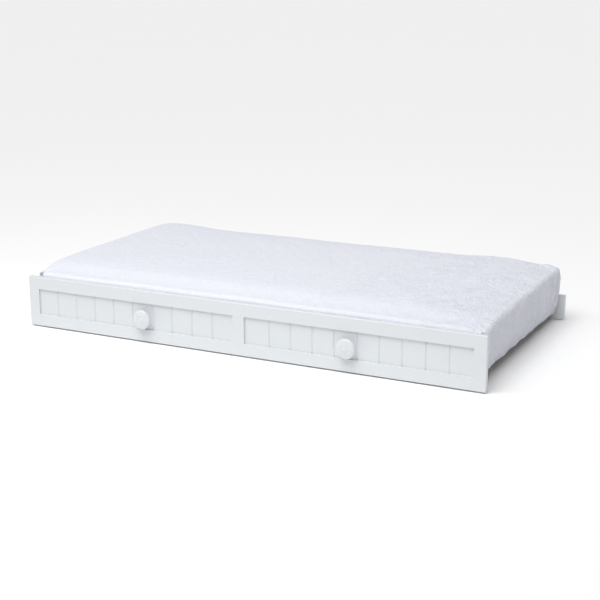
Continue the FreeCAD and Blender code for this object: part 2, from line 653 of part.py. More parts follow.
# ---------------------------------------------------------------------------------------
# Casters: three along the front and three along the rear, all set to roll along Y. Each
# has a pressed plate with two fork legs, a riveted axle and a moulded wheel, and is
# screwed to a wooden block behind the cleat.
# ---------------------------------------------------------------------------------------
WHEEL_RADIUS = "(Dims.wheel_diameter / 2)"
FORK_INNER_X = "(Dims.hub_length / 2 + Dims.wheel_side_play)"
FORK_OUTER_X = f"({FORK_INNER_X} + Dims.plate_thickness)"
PLATE_BOTTOM_Z = f"({BLOCK_BOTTOM_Z} - Dims.plate_thickness)"
SCREW_OFFSET = "(Dims.plate_side / 2 - Dims.plate_hole_inset)"
CASTERS = [
    ("front_left", "-Dims.caster_spread / 2", -1),
    ("front_centre", "0", -1),
    ("front_right", "Dims.caster_spread / 2", -1),
    ("rear_left", "-Dims.caster_spread / 2", 1),
    ("rear_centre", "0", 1),
    ("rear_right", "Dims.caster_spread / 2", 1),
]


def caster_y(end):
    """Middle of the blocks behind the front cleat (-1) or the rear cleat (+1)."""
    if end < 0:
        return f"({FRONT_CLEAT_INNER_Y} + Dims.block_depth / 2)"
    return f"({REAR_CLEAT_INNER_Y} - Dims.block_depth / 2)"


def caster_bracket(name, x, y):
    """Square plate with rounded corners and two tapered fork legs, in the wheel's frame."""
    body = new_body(name, (x, y, 0))
    half = "(Dims.plate_side / 2)"
    plate = sketch_on(body, f"{name}_plate", "XY_Plane", PLATE_BOTTOM_Z)
    outline(plate, rounded_rectangle(
        f"-{half}", f"-{half}", half, half, "Dims.plate_round", "Dims.plate_round"))
    for across in (-1, 1):
        for deep in (-1, 1):
            hole(plate, f"{across} * {SCREW_OFFSET}", f"{deep} * {SCREW_OFFSET}", "Dims.screw_radius")
    pad(body, f"{name}_plate_thickness", plate, "Dims.plate_thickness")
    leg = sketch_on(body, f"{name}_leg", "YZ_Plane", FORK_INNER_X)
    eye = "Dims.fork_eye_radius"
    outline(leg, [
        ("Dims.fork_width / 2", PLATE_BOTTOM_Z),
        ("-Dims.fork_width / 2", PLATE_BOTTOM_Z),
        (f"-{eye}", WHEEL_RADIUS),
        ("0", f"{WHEEL_RADIUS} - {eye}", eye, "left"),
        (eye, WHEEL_RADIUS, eye, "left"),
    ])
    hole(leg, "0", WHEEL_RADIUS, "Dims.axle_radius")
    right_leg = pad(body, f"{name}_right_leg", leg, "Dims.plate_thickness")
    both_legs = body.newObject("PartDesign::Mirrored", f"{name}_legs")
    both_legs.Originals = [right_leg]
    mirror_plane = next(item for item in body.Origin.OriginFeatures if item.Role == "YZ_Plane")
    both_legs.MirrorPlane = (mirror_plane, [""])
    body.Tip = both_legs
    doc.recompute()
    return body


def caster_wheel(name, x, y):
    """Wheel with a rounded tread, a thin web and a long hub, turned about X."""
    body = new_body(name, (x, y, WHEEL_RADIUS))
    profile = sketch_on(body, f"{name}_profile", "XY_Plane")
    bore = "(Dims.axle_radius + Dims.axle_play)"
    hub = "(Dims.hub_length / 2)"
    web = "(Dims.web_thickness / 2)"
    tread = "(Dims.wheel_width / 2)"
    rim = f"({WHEEL_RADIUS} - Dims.tread_depth)"
    outline(profile, [
        (f"-{hub}", bore), (hub, bore), (hub, "Dims.hub_radius"), (web, "Dims.hub_radius"),
        (web, rim), (tread, rim),
        (tread, f"{WHEEL_RADIUS} - Dims.tread_round"),
        (f"{tread} - Dims.tread_round", WHEEL_RADIUS, "Dims.tread_round", "left"),
        (f"-{tread} + Dims.tread_round", WHEEL_RADIUS),
        (f"-{tread}", f"{WHEEL_RADIUS} - Dims.tread_round", "Dims.tread_round", "left"),
        (f"-{tread}", rim), (f"-{web}", rim),
        (f"-{web}", "Dims.hub_radius"), (f"-{hub}", "Dims.hub_radius"),
    ])
    turn(body, f"{name}_turning", profile, "H_Axis")
    return body


axle_parts = []
caster_screw_parts = []
for place, x, end in CASTERS:
    y = caster_y(end)
    node(caster_bracket(f"{place}_caster", x, y), f"{place}_caster_bracket")
    node(caster_wheel(f"{place}_roller", x, y), f"{place}_wheel")
    left = f"{x} - {FORK_OUTER_X}"
    axle_start = (left, y, WHEEL_RADIUS)
    axle_parts.append(rod(f"{place}_axle", "Dims.axle_radius", f"2 * {FORK_OUTER_X}", axle_start, RIGHT))
    for reach, away in ((FORK_OUTER_X, RIGHT), (f"-{FORK_OUTER_X}", -RIGHT)):
        start = (f"{x} + {reach}", y, WHEEL_RADIUS)
        axle_parts.append(
            rod(f"{place}_rivet", "Dims.rivet_head_radius", "Dims.rivet_head_height", start, away))
    for across in (-1, 1):
        for deep in (-1, 1):
            head_x = f"{x} + {across} * {SCREW_OFFSET}"
            head_y = f"{y} + {deep} * {SCREW_OFFSET}"
            head = (head_x, head_y, f"{PLATE_BOTTOM_Z} - Dims.screw_head_height")
            shank = "Dims.screw_head_height + Dims.block_screw_length"
            caster_screw_parts.append(rod(f"{place}_screw", "Dims.screw_radius", shank, head, UP))
            caster_screw_parts.append(
                rod(f"{place}_screw_head", "Dims.caster_head_radius", "Dims.screw_head_height", head, UP))
node(merged("axle_set", axle_parts), "caster_axles")
caster_screws = merged("caster_screw_set", caster_screw_parts)
node(caster_screws, "caster_screws")

for place, x, end in CASTERS:
    block = box(
        f"{place}_block_plain", ("Dims.block_length", "Dims.block_depth", "Dims.block_height"),
        (f"{x} - Dims.block_length / 2", f"{caster_y(end)} - Dims.block_depth / 2", BLOCK_BOTTOM_Z))
    node(cut_away(f"{place}_block_bored", block, [caster_screws]), f"{place}_caster_block")

# ---------------------------------------------------------------------------------------
# Slat deck: loose slats tied by two webbing straps stapled underneath. The first and the
# last slat are screwed down to the cleats.
# ---------------------------------------------------------------------------------------
SLAT_LENGTH = f"({WELL_DEPTH} - 2 * Dims.slat_end_gap)"
FIRST_SLAT_X = f"(Dims.end_slat_gap - {SIDE_INNER_X})"
SLAT_STEP = f"((-2 * {FIRST_SLAT_X} - Dims.slat_width) / (Dims.slat_count - 1))"
slat_count = int(size_of("Dims.slat_count"))


def slat(name, number):
    """Board with eased edges, running from front to rear."""
    rear_end_y = f"{RAIL_FRONT_Y} - Dims.slat_end_gap"
    body = new_body(name, (f"{FIRST_SLAT_X} + {number} * {SLAT_STEP}", rear_end_y, SLAT_BOTTOM_Z))
    section = sketch_on(body, f"{name}_section", "XZ_Plane")
    outline(section, rounded_rectangle(
        "0", "0", "Dims.slat_width", "Dims.slat_thickness", "Dims.slat_round", "Dims.slat_round"))
    pad(body, f"{name}_length", section, SLAT_LENGTH)
    return body


slat_bodies = [slat(f"slat_body_{number + 1}", number) for number in range(slat_count)]

STRAP_Z = f"({SLAT_BOTTOM_Z} - Dims.strap_thickness)"
strap_middles = [f"({PANEL_BACK_Y} + Dims.strap_inset)", f"({RAIL_FRONT_Y} - Dims.strap_inset)"]
straps = []
staple_parts = []
for strap_number, middle in enumerate(strap_middles, start=1):
    straps.append(box(
        f"strap_{strap_number}", (f"-2 * {FIRST_SLAT_X}", "Dims.strap_width", "Dims.strap_thickness"),
        (FIRST_SLAT_X, f"{middle} - Dims.strap_width / 2", STRAP_Z)))
    for number in range(slat_count):
        middle_x = f"{FIRST_SLAT_X} + {number} * {SLAT_STEP} + Dims.slat_width / 2"
        staple_parts.append(box(
            f"crown_{strap_number}_{number + 1}",
            ("Dims.staple_wire", "Dims.staple_crown", "Dims.staple_wire"),
            (f"{middle_x} - Dims.staple_wire / 2", f"{middle} - Dims.staple_crown / 2",
             f"{STRAP_Z} - Dims.staple_wire")))
        for reach in ("-Dims.staple_crown / 2", "Dims.staple_crown / 2 - Dims.staple_wire"):
            staple_parts.append(box(
                f"leg_{strap_number}_{number + 1}",
                ("Dims.staple_wire", "Dims.staple_wire", "Dims.staple_leg"),
                (f"{middle_x} - Dims.staple_wire / 2", f"{middle} + {reach}", STRAP_Z)))
staples = merged("staple_set", staple_parts)
node(staples, "strap_staples")
node(cut_away("front_strap_pierced", straps[0], [staples]), "front_strap")
node(cut_away("rear_strap_pierced", straps[1], [staples]), "rear_strap")

slat_screw_faces = []
for number in (0, slat_count - 1):
    for across in ("Dims.slat_screw_inset", "(Dims.slat_width - Dims.slat_screw_inset)"):
        x = f"{FIRST_SLAT_X} + {number} * {SLAT_STEP} + {across}"
        slat_screw_faces.append(((x, f"{PANEL_BACK_Y} + Dims.cleat_thickness / 2", DECK_Z), -UP))
        slat_screw_faces.append(((x, f"{RAIL_FRONT_Y} - Dims.cleat_thickness / 2", DECK_Z), -UP))
slat_screws = flat_screws("slat_screw_set", slat_screw_faces, "Dims.slat_screw_length")
node(slat_screws, "slat_screws")

for number, body in enumerate(slat_bodies, start=1):
    tools = [staples]
    if number in (1, slat_count):
        tools.append(slat_screws)
    node(cut_away(f"slat_{number}_pierced", body, tools), f"slat_{number:02d}")

cleat_tools = [cleat_screws, bracket_screws, slat_screws]
node(cut_away("front_cleat_bored", front_cleat, cleat_tools), "front_cleat")
node(cut_away("rear_cleat_bored", rear_cleat, cleat_tools), "rear_cleat")

# ---------------------------------------------------------------------------------------
# Mattress: a foam block with rounded edges, clear of the deck it rests on
# ---------------------------------------------------------------------------------------
MATTRESS_HALF = "(Dims.overall_length / 2 - Dims.mattress_end_inset)"
MATTRESS_DEPTH = f"({WELL_DEPTH} - 2 * Dims.mattress_side_gap)"
MATTRESS_FRONT_Y = f"({PANEL_BACK_Y} + Dims.mattress_side_gap)"
MATTRESS_BOTTOM_Z = f"({DECK_Z} + Dims.rest_clearance)"

mattress = new_body("mattress_body", (0, MATTRESS_FRONT_Y, MATTRESS_BOTTOM_Z))
footprint = sketch_on(mattress, "mattress_footprint", "XY_Plane")
outline(footprint, rectangle(f"-{MATTRESS_HALF}", "0", MATTRESS_HALF, MATTRESS_DEPTH))
mattress_block = pad(mattress, "mattress_block", footprint, "Dims.mattress_thickness")
round_edges(mattress, "mattress_rounding", mattress_block, "Dims.mattress_round", lambda way, middle: True)
node(mattress, "mattress")

# ---------------------------------------------------------------------------------------
# Coverlet: a cloth over the mattress, tucked down at the panel and the rail, and hanging
# as a skirt past both ends. It is a thin shell here, open below.
# ---------------------------------------------------------------------------------------
COVER_REACH = "(Dims.cover_clearance + Dims.cover_thickness)"
MATTRESS_TOP_Z = f"({MATTRESS_BOTTOM_Z} + Dims.mattress_thickness)"
COVER_TOP_Z = f"({MATTRESS_TOP_Z} + {COVER_REACH})"

outer_cover = box(
    "cover_outside",
    (f"2 * ({MATTRESS_HALF} + {COVER_REACH})", f"{MATTRESS_DEPTH} + 2 * {COVER_REACH}",
     f"{COVER_TOP_Z} - Dims.skirt_hem"),
    (f"-{MATTRESS_HALF} - {COVER_REACH}", f"{MATTRESS_FRONT_Y} - {COVER_REACH}", "Dims.skirt_hem"))
inner_cover = box(
    "cover_inside",
    (f"2 * ({MATTRESS_HALF} + Dims.cover_clearance)", f"{MATTRESS_DEPTH} + 2 * Dims.cover_clearance",
     f"{MATTRESS_TOP_Z} + Dims.cover_clearance - Dims.skirt_hem"),
    (f"-{MATTRESS_HALF} - Dims.cover_clearance", f"{MATTRESS_FRONT_Y} - Dims.cover_clearance",
     "Dims.skirt_hem"))
under_tucks = box(
    "cover_below_tucks",
    (f"2 * {MATTRESS_HALF}", f"{MATTRESS_DEPTH} + 4 * {COVER_REACH}",
     f"{DECK_Z} + Dims.tuck_above_deck - Dims.skirt_hem"),
    (f"-{MATTRESS_HALF}", f"{MATTRESS_FRONT_Y} - 2 * {COVER_REACH}", "Dims.skirt_hem"))
node(cut_away("cover_shell", outer_cover, [inner_cover, under_tucks]), "coverlet")

# ---------------------------------------------------------------------------------------
# Check every object, then write one file for each sub-part
# ---------------------------------------------------------------------------------------
doc.recompute()
for item in doc.Objects:
    if "Invalid" in item.State or "Error" in item.State:
        raise RuntimeError(f"{item.Label} failed: {item.State}")
for piece in nodes:
    if piece.Shape.isNull() or not piece.Shape.isValid() or piece.Shape.Volume <= 0:
        raise RuntimeError(f"{piece.Label} has no valid shape")

os.makedirs("parts", exist_ok=True)
for piece in nodes:
    piece.Shape.exportStep(f"parts/{piece.Label}.step")
    print(piece.Label, len(piece.Shape.Solids), round(piece.Shape.Volume / 1000, 2), "cm3")
print(len(nodes), "sub-parts")
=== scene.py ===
import math

import bpy
import numpy as np
from mathutils import Matrix, Vector


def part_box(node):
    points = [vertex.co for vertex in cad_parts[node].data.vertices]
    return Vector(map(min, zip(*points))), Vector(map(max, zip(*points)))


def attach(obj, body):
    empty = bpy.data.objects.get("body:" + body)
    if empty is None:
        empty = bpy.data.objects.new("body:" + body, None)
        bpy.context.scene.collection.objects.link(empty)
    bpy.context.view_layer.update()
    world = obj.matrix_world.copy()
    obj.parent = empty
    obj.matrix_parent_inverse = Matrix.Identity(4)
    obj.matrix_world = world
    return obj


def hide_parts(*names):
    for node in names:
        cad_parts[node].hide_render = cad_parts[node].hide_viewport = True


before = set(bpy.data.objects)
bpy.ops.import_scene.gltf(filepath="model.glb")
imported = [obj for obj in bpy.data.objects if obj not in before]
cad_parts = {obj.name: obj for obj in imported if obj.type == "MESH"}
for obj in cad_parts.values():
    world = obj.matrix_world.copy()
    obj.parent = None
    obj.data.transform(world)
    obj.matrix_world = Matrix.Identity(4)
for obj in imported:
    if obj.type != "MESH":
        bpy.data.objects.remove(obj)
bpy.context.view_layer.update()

# Front panel frame: two rails and three stiles of solid wood, grooved and tongued together,
# primed and sprayed with satin white paint. The grain still shows as the faintest ribbing,
# and the lower edge, near the floor, is scuffed.
WHITE_PAINT = (0.694, 0.722, 0.745)
SCUFFED_PAINT = (0.600, 0.600, 0.595)
SCUFF_HEIGHT = 0.022
RIB_SCALE = {"across": 260.0, "along": 6.0}
PEEL_SCALE = 420.0
RIB_DEPTH = 0.00009
PEEL_DEPTH = 0.00004


def new_material(name):
    """Empty material: the material, its node tree and its shader."""
    material = bpy.data.materials.new(name)
    material.use_nodes = True
    return material, material.node_tree, material.node_tree.nodes["Principled BSDF"]


def add(tree, kind, inputs=None, **settings):
    """One node with its settings; each input takes a value or another node's output."""
    made = tree.nodes.new(kind)
    for key, value in settings.items():
        setattr(made, key, value)
    for key, value in (inputs or {}).items():
        if isinstance(value, bpy.types.NodeSocket):
            tree.links.new(value, made.inputs[key])
        else:
            made.inputs[key].default_value = value
    return made


def object_place(tree, scale=(1, 1, 1)):
    """Object coordinates, stretched by a scale along each axis."""
    place = add(tree, "ShaderNodeTexCoord")
    return add(tree, "ShaderNodeMapping", {"Vector": place.outputs["Object"], "Scale": scale}).outputs[0]


def stretched(grain, across, along):
    """Scales of x, y and z: one value along the grain's axis, another across it."""
    return [along if axis == grain else across for axis in "xyz"]


def shade(colour, share):
    """The colour with each of its parts multiplied by the share."""
    return tuple(share * part for part in colour)


def noise(tree, place, scale, detail=3.0, roughness=0.5):
    """Fractal noise from 0 to 1, of so many lumps to a metre of the place given."""
    made = add(tree, "ShaderNodeTexNoise",
               {"Vector": place, "Scale": scale, "Detail": detail, "Roughness": roughness})
    return made.outputs["Fac"]


def remap(tree, value, low, high, to_low, to_high):
    """Clamped straight-line change of range."""
    made = add(tree, "ShaderNodeMapRange",
               {"Value": value, "From Min": low, "From Max": high, "To Min": to_low, "To Max": to_high})
    return made.outputs["Result"]


def two_colours(tree, amount, first, second):
    """Mix of two colours by an amount from 0 to 1; each is a colour or another node's output."""
    made = add(tree, "ShaderNodeMix", {"Factor": amount}, data_type="RGBA")
    for socket, colour in ((made.inputs[6], first), (made.inputs[7], second)):
        if isinstance(colour, bpy.types.NodeSocket):
            tree.links.new(colour, socket)
        else:
            socket.default_value = (*colour, 1)
    return made.outputs[2]


def math_node(tree, operation, *values):
    """One arithmetic step on values or other nodes' outputs."""
    made = add(tree, "ShaderNodeMath", operation=operation)
    for socket, value in zip(made.inputs, values):
        if isinstance(value, bpy.types.NodeSocket):
            tree.links.new(value, socket)
        else:
            socket.default_value = value
    return made.outputs[0]


def bump(tree, height, depth, before=None):
    """Bump of a height field whose full range is a depth in metres."""
    inputs = {"Height": height, "Distance": depth, "Strength": 1.0}
    if before is not None:
        inputs["Normal"] = before
    return add(tree, "ShaderNodeBump", inputs).outputs[0]


def painted_wood(name, grain, scuffed=True):
    """Sprayed satin paint over wood: fine ribs along the grain (x, y or z), a faint orange
    peel, slow changes of tone, and scuffs near the floor."""
    material, tree, shader = new_material(name)
    ribs = noise(tree, object_place(tree, stretched(grain, **RIB_SCALE)), 1.0, detail=4.0, roughness=0.6)
    peel = noise(tree, object_place(tree), PEEL_SCALE, detail=2.0)
    slow = noise(tree, object_place(tree), 2.3, detail=2.0)
    colour = two_colours(tree, slow, shade(WHITE_PAINT, 0.97), WHITE_PAINT)
    if scuffed:
        height = add(tree, "ShaderNodeSeparateXYZ", {"Vector": object_place(tree)}).outputs["Z"]
        near_floor = remap(tree, height, 0.006, SCUFF_HEIGHT, 0.5, 0.0)
        spots = remap(tree, noise(tree, object_place(tree), 55.0, 5.0, 0.7), 0.52, 0.68, 0.0, 1.0)
        colour = two_colours(tree, math_node(tree, "MULTIPLY", near_floor, spots), colour, SCUFFED_PAINT)
    tree.links.new(colour, shader.inputs["Base Color"])
    tree.links.new(remap(tree, peel, 0.3, 0.7, 0.34, 0.44), shader.inputs["Roughness"])
    normal = bump(tree, ribs, RIB_DEPTH)
    tree.links.new(bump(tree, peel, PEEL_DEPTH, normal), shader.inputs["Normal"])
    shader.inputs["Coat Weight"].default_value = 0.12
    shader.inputs["Coat Roughness"].default_value = 0.22
    return material


def finish_node(name, material):
    """Give a carried-over CAD piece its material."""
    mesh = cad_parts[name].data
    mesh.materials.clear()
    mesh.materials.append(material)


rail_paint = painted_wood("rail_paint", "x")
stile_paint = painted_wood("stile_paint", "z")
for part in ("front_top_rail", "front_bottom_rail"):
    finish_node(part, rail_paint)
for part in ("front_left_stile", "front_centre_stile", "front_right_stile"):
    finish_node(part, stile_paint)

# Beadboard panels: boards run upright and are painted after they are let into the frame,
# so paint gathers a little in the V grooves between them; their material, the stiles' paint without the
# scuffs, does not show this.
board_paint = painted_wood("board_paint", "z", scuffed=False)
for part in ("left_beadboard_panel", "right_beadboard_panel"):
    finish_node(part, board_paint)

# Knobs: turned wooden mushrooms with one ring cut in the face, sprayed semi-gloss white.
# Each is held by a screw from the back of the panel.
KNOB_PAINT = (0.705, 0.728, 0.750)
KNOB_TURNS = 128
KNOB_STEPS = 96
# Foot, hollow neck, rounded rim, and a low face with its ring: shares of the rim's radius
# and of the knob's height.
KNOB_OUTLINE = [
    (0.43, 0.00), (0.43, 0.07), (0.37, 0.13), (0.315, 0.22), (0.36, 0.31), (0.55, 0.43), (0.78, 0.52),
    (0.93, 0.58), (0.985, 0.64), (1.00, 0.70), (0.985, 0.76), (0.93, 0.82), (0.80, 0.875), (0.60, 0.93),
    (0.45, 0.952), (0.415, 0.948), (0.378, 0.925), (0.342, 0.950), (0.30, 0.962), (0.15, 0.990),
    (0.0001, 1.00),
]


def mesh_piece(name, points, faces):
    """Smooth-shaded object from an array of points and an array of four-sided faces."""
    mesh = bpy.data.meshes.new(name)
    mesh.vertices.add(len(points))
    mesh.vertices.foreach_set("co", points.reshape(-1).astype(np.float32))
    mesh.loops.add(faces.size)
    mesh.loops.foreach_set("vertex_index", faces.reshape(-1).astype(np.int32))
    mesh.polygons.add(len(faces))
    mesh.polygons.foreach_set("loop_start", np.arange(0, faces.size, 4, dtype=np.int32))
    mesh.update(calc_edges=True)
    mesh.shade_smooth()
    piece = bpy.data.objects.new(name, mesh)
    bpy.context.scene.collection.objects.link(piece)
    return piece


def grid_faces(number):
    """Four-sided faces between the neighbours of a grid of vertex numbers."""
    corners = [number[:-1, :-1], number[:-1, 1:], number[1:, 1:], number[1:, :-1]]
    return np.stack(corners, axis=2).reshape(-1, 4)


def closed_columns(number):
    """The same grid with its first column repeated at the end."""
    return np.concatenate([number, number[:, :1]], axis=1)


def turned(name, profile, centre, axis_y, count):
    """Turned surface: each profile point (distance from the axis, distance along it) is
    carried once round a Y axis through the centre."""
    angle = np.linspace(0, 2 * np.pi, count, endpoint=False)
    radius, along = profile[:, 0], profile[:, 1]
    x = centre.x + np.outer(radius, np.cos(angle))
    z = centre.z + np.outer(radius, np.sin(angle))
    y = np.repeat(centre.y + axis_y * along[:, None], count, axis=1)
    number = np.arange(x.size).reshape(x.shape)
    return mesh_piece(name, np.stack([x, y, z], axis=2).reshape(-1, 3), grid_faces(closed_columns(number)))


def smooth_path(points, count):
    """Catmull-Rom curve through the points, cut into equal steps along its length."""
    steps_per_span = 24
    points = np.asarray(points, float)
    ends = np.concatenate([[2 * points[0] - points[1]], points, [2 * points[-1] - points[-2]]])
    steps = np.linspace(0, 1, steps_per_span, endpoint=False)[:, None]
    before, start, end, after = ends[:-3, None], ends[1:-2, None], ends[2:-1, None], ends[3:, None]
    curve = 0.5 * (2 * start + (end - before) * steps
                   + (2 * before - 5 * start + 4 * end - after) * steps ** 2
                   + (3 * start - before - 3 * end + after) * steps ** 3)
    curve = np.concatenate([curve.reshape(-1, points.shape[1]), points[-1:]])
    length = np.concatenate([[0], np.cumsum(np.linalg.norm(np.diff(curve, axis=0), axis=1))])
    even = np.linspace(0, length[-1], count)
    return np.stack([np.interp(even, length, curve[:, axis]) for axis in range(points.shape[1])], axis=1)


def knob_paint():
    """Semi-gloss paint with the faint rings of the lathe under it."""
    material, tree, shader = new_material("knob_paint")
    slow = noise(tree, object_place(tree), 30.0, 3.0)
    colour = two_colours(tree, slow, shade(KNOB_PAINT, 0.965), KNOB_PAINT)
    tree.links.new(colour, shader.inputs["Base Color"])
    fine = noise(tree, object_place(tree, (60.0, 900.0, 60.0)), 1.0, 2.0)
    tree.links.new(remap(tree, fine, 0.3, 0.7, 0.22, 0.32), shader.inputs["Roughness"])
    tree.links.new(bump(tree, fine, 0.00005), shader.inputs["Normal"])
    shader.inputs["Coat Weight"].default_value = 0.3
    shader.inputs["Coat Roughness"].default_value = 0.12
    return material


knob_finish = knob_paint()
for side in ("left", "right"):
    low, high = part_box(f"{side}_knob")
    rim = (high.x - low.x) / 2
    tall = high.y - low.y
    foot = Vector(((low.x + high.x) / 2, high.y, (low.z + high.z) / 2))
    outline = np.array([rim, tall]) * smooth_path(KNOB_OUTLINE, KNOB_STEPS)
    knob = turned(f"{side}_knob_turned", outline, foot, -1, KNOB_TURNS)
    knob.data.materials.append(knob_finish)
    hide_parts(f"{side}_knob")
    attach(knob, "frame")

# Rear rail and side boards: plain boards in the same white paint. The side boards stand in
# from the ends, between the front panel and the rear rail.
finish_node("rear_rail", rail_paint)
side_paint = painted_wood("side_board_paint", "y")
for side in ("left", "right"):
    finish_node(f"{side}_side_board", side_paint)

# Cleats, caster blocks and slats: planed, unfinished pine. The cleats run along the bed and
# the slats across it, each with its own grain.
PALE_PINE = (0.640, 0.470, 0.270)
RIPE_PINE = (0.470, 0.300, 0.140)
KNOT_PINE = (0.200, 0.095, 0.040)
RING_SCALE = {"across": 26.0, "along": 1.3}
FIBRE_SCALE = {"across": 900.0, "along": 14.0}
KNOT_SCALE = {"across": 16.0, "along": 3.2}
FIBRE_DEPTH = 0.00012


def pine(name, grain):
    """Growth rings stretched along the grain (x, y or z), fine fibres, and a few knots."""
    material, tree, shader = new_material(name)
    warp = noise(tree, object_place(tree, stretched(grain, **RING_SCALE)), 0.35, roughness=0.6)
    rings = math_node(tree, "SINE", math_node(tree, "MULTIPLY", warp, 95.0))
    fibres = noise(tree, object_place(tree, stretched(grain, **FIBRE_SCALE)), 1.0, roughness=0.6)
    colour = two_colours(tree, remap(tree, rings, -1.0, 1.0, 0.0, 0.75), PALE_PINE, RIPE_PINE)
    colour = two_colours(tree, remap(tree, fibres, 0.35, 0.75, 0.0, 0.25), colour, RIPE_PINE)
    place = object_place(tree, stretched(grain, **KNOT_SCALE))
    spots = add(tree, "ShaderNodeTexVoronoi", {"Vector": place, "Scale": 0.6, "Randomness": 1.0})
    knots = remap(tree, spots.outputs["Distance"], 0.05, 0.12, 0.85, 0.0)
    colour = two_colours(tree, knots, colour, KNOT_PINE)
    tree.links.new(colour, shader.inputs["Base Color"])
    tree.links.new(remap(tree, fibres, 0.3, 0.7, 0.52, 0.68), shader.inputs["Roughness"])
    tree.links.new(bump(tree, fibres, FIBRE_DEPTH), shader.inputs["Normal"])
    return material


cleat_pine = pine("cleat_pine", "x")
slat_pine = pine("slat_pine", "y")
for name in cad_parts:
    if name.endswith("_cleat") or name.endswith("_caster_block"):
        finish_node(name, cleat_pine)
    elif name.startswith("slat_") and name != "slat_screws":
        finish_node(name, slat_pine)

# Straps: two lengths of white polyester webbing that tie the slats together underneath.
WEBBING = (0.74, 0.74, 0.71)
# Painted shade: the darker grey lies in the hollows of the weave.
WEBBING_PAINTED_SHADE = (0.52, 0.52, 0.50)
WEBBING_PITCH = 0.0016
WEBBING_DEPTH = 0.0003


def webbing():
    """Plain weave: ribs across and along the tape, at the pitch of its yarns, with painted shade in the
    hollows between them.
    """
    material, tree, shader = new_material("webbing")
    turn_rate = 2 * math.pi / WEBBING_PITCH
    split = add(tree, "ShaderNodeSeparateXYZ", {"Vector": object_place(tree)})
    across = math_node(tree, "SINE", math_node(tree, "MULTIPLY", split.outputs["X"], turn_rate))
    along = math_node(tree, "SINE", math_node(tree, "MULTIPLY", split.outputs["Y"], turn_rate))
    weave = remap(tree, math_node(tree, "MULTIPLY", across, along), -1.0, 1.0, 0.0, 1.0)
    # Painted shade: darker where the weave is low, paler on the ribs.
    tree.links.new(two_colours(tree, weave, WEBBING_PAINTED_SHADE, WEBBING), shader.inputs["Base Color"])
    tree.links.new(bump(tree, weave, WEBBING_DEPTH), shader.inputs["Normal"])
    shader.inputs["Roughness"].default_value = 0.7
    shader.inputs["Sheen Weight"].default_value = 0.2
    return material


webbing_finish = webbing()
for part in ("front_strap", "rear_strap"):
    finish_node(part, webbing_finish)

# Steel: corner brackets, caster brackets, axles, screws and staples are pressed or drawn
# steel with a dull zinc plating, slightly mottled where it was dipped.
ZINC = (0.58, 0.59, 0.60)
DULL_ZINC = (0.44, 0.44, 0.43)


def plated_steel(name, roughness):
    """Zinc plating: small spangles over a slow mottle, with fine drawing lines."""
    material, tree, shader = new_material(name)
    spangle = add(tree, "ShaderNodeTexVoronoi", {"Vector": object_place(tree), "Scale": 240.0})
    mottle = noise(tree, object_place(tree), 60.0, 4.0, 0.6)
    tone = add(tree, "ShaderNodeSeparateXYZ", {"Vector": spangle.outputs["Color"]}).outputs["X"]
    blend = math_node(tree, "MULTIPLY", tone, mottle)
    tree.links.new(two_colours(tree, blend, ZINC, DULL_ZINC), shader.inputs["Base Color"])
    dullness = remap(tree, mottle, 0.3, 0.7, roughness - 0.07, roughness + 0.1)
    tree.links.new(dullness, shader.inputs["Roughness"])
    lines = noise(tree, object_place(tree, (80.0, 80.0, 1600.0)), 1.0, 2.0)
    tree.links.new(bump(tree, lines, 0.00002), shader.inputs["Normal"])
    shader.inputs["Metallic"].default_value = 1.0
    return material


bracket_steel = plated_steel("bracket_steel", 0.34)
screw_steel = plated_steel("screw_steel", 0.26)
SCREW_NODES = ("knob_screws", "cleat_screws", "bracket_screws", "caster_screws", "slat_screws",
               "strap_staples", "caster_axles")
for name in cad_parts:
    if name == "corner_brackets" or name.endswith("_caster_bracket"):
        finish_node(name, bracket_steel)
    elif name in SCREW_NODES:
        finish_node(name, screw_steel)

# Caster wheels: one moulding of black nylon each, with a satin skin that the floor has
# dulled on the tread.
NYLON = (0.030, 0.030, 0.033)
DUSTY_NYLON = (0.105, 0.102, 0.098)


def wheel_nylon(name, centre, radius):
    """Satin plastic; the tread, which is what lies near the full radius, is dusty."""
    material, tree, shader = new_material(name)
    place = add(tree, "ShaderNodeTexCoord").outputs["Object"]
    centred = add(tree, "ShaderNodeVectorMath", {0: place, 1: centre}, operation="SUBTRACT").outputs[0]
    split = add(tree, "ShaderNodeSeparateXYZ", {"Vector": centred})
    square_y = math_node(tree, "MULTIPLY", split.outputs["Y"], split.outputs["Y"])
    square_z = math_node(tree, "MULTIPLY", split.outputs["Z"], split.outputs["Z"])
    reach = math_node(tree, "SQRT", math_node(tree, "ADD", square_y, square_z))
    tread = remap(tree, reach, 0.93 * radius, 0.995 * radius, 0.0, 1.0)
    dust = math_node(tree, "MULTIPLY", tread, noise(tree, centred, 130.0, 4.0, 0.65))
    tree.links.new(two_colours(tree, dust, NYLON, DUSTY_NYLON), shader.inputs["Base Color"])
    tree.links.new(remap(tree, dust, 0.0, 0.6, 0.38, 0.7), shader.inputs["Roughness"])
    tree.links.new(bump(tree, noise(tree, centred, 900.0, 2.0), 0.00003), shader.inputs["Normal"])
    return material


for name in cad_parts:
    if name.endswith("_wheel"):
        low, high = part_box(name)
        finish_node(name, wheel_nylon(f"{name}_nylon", (low + high) / 2, (high.z - low.z) / 2))

# Mattress: a block of foam in a quilted knitted ticking, sewn up with a piped seam round its
# top and bottom edges. It lies loose on the slats, and its top sinks a little at its edges.
TICKING = (0.72, 0.72, 0.71)
TICKING_SEAM = (0.50, 0.50, 0.50)
EDGE_ROLL = 0.020
MATTRESS_CORNER = 0.050
COVER_GAP = 0.004
SIDE_GAP = 0.008
PIPING_RADIUS = 0.004
QUILT_PITCH = 0.11
QUILT_DEPTH = 0.004
MATTRESS_COLUMNS = 150
MATTRESS_ROWS = 80
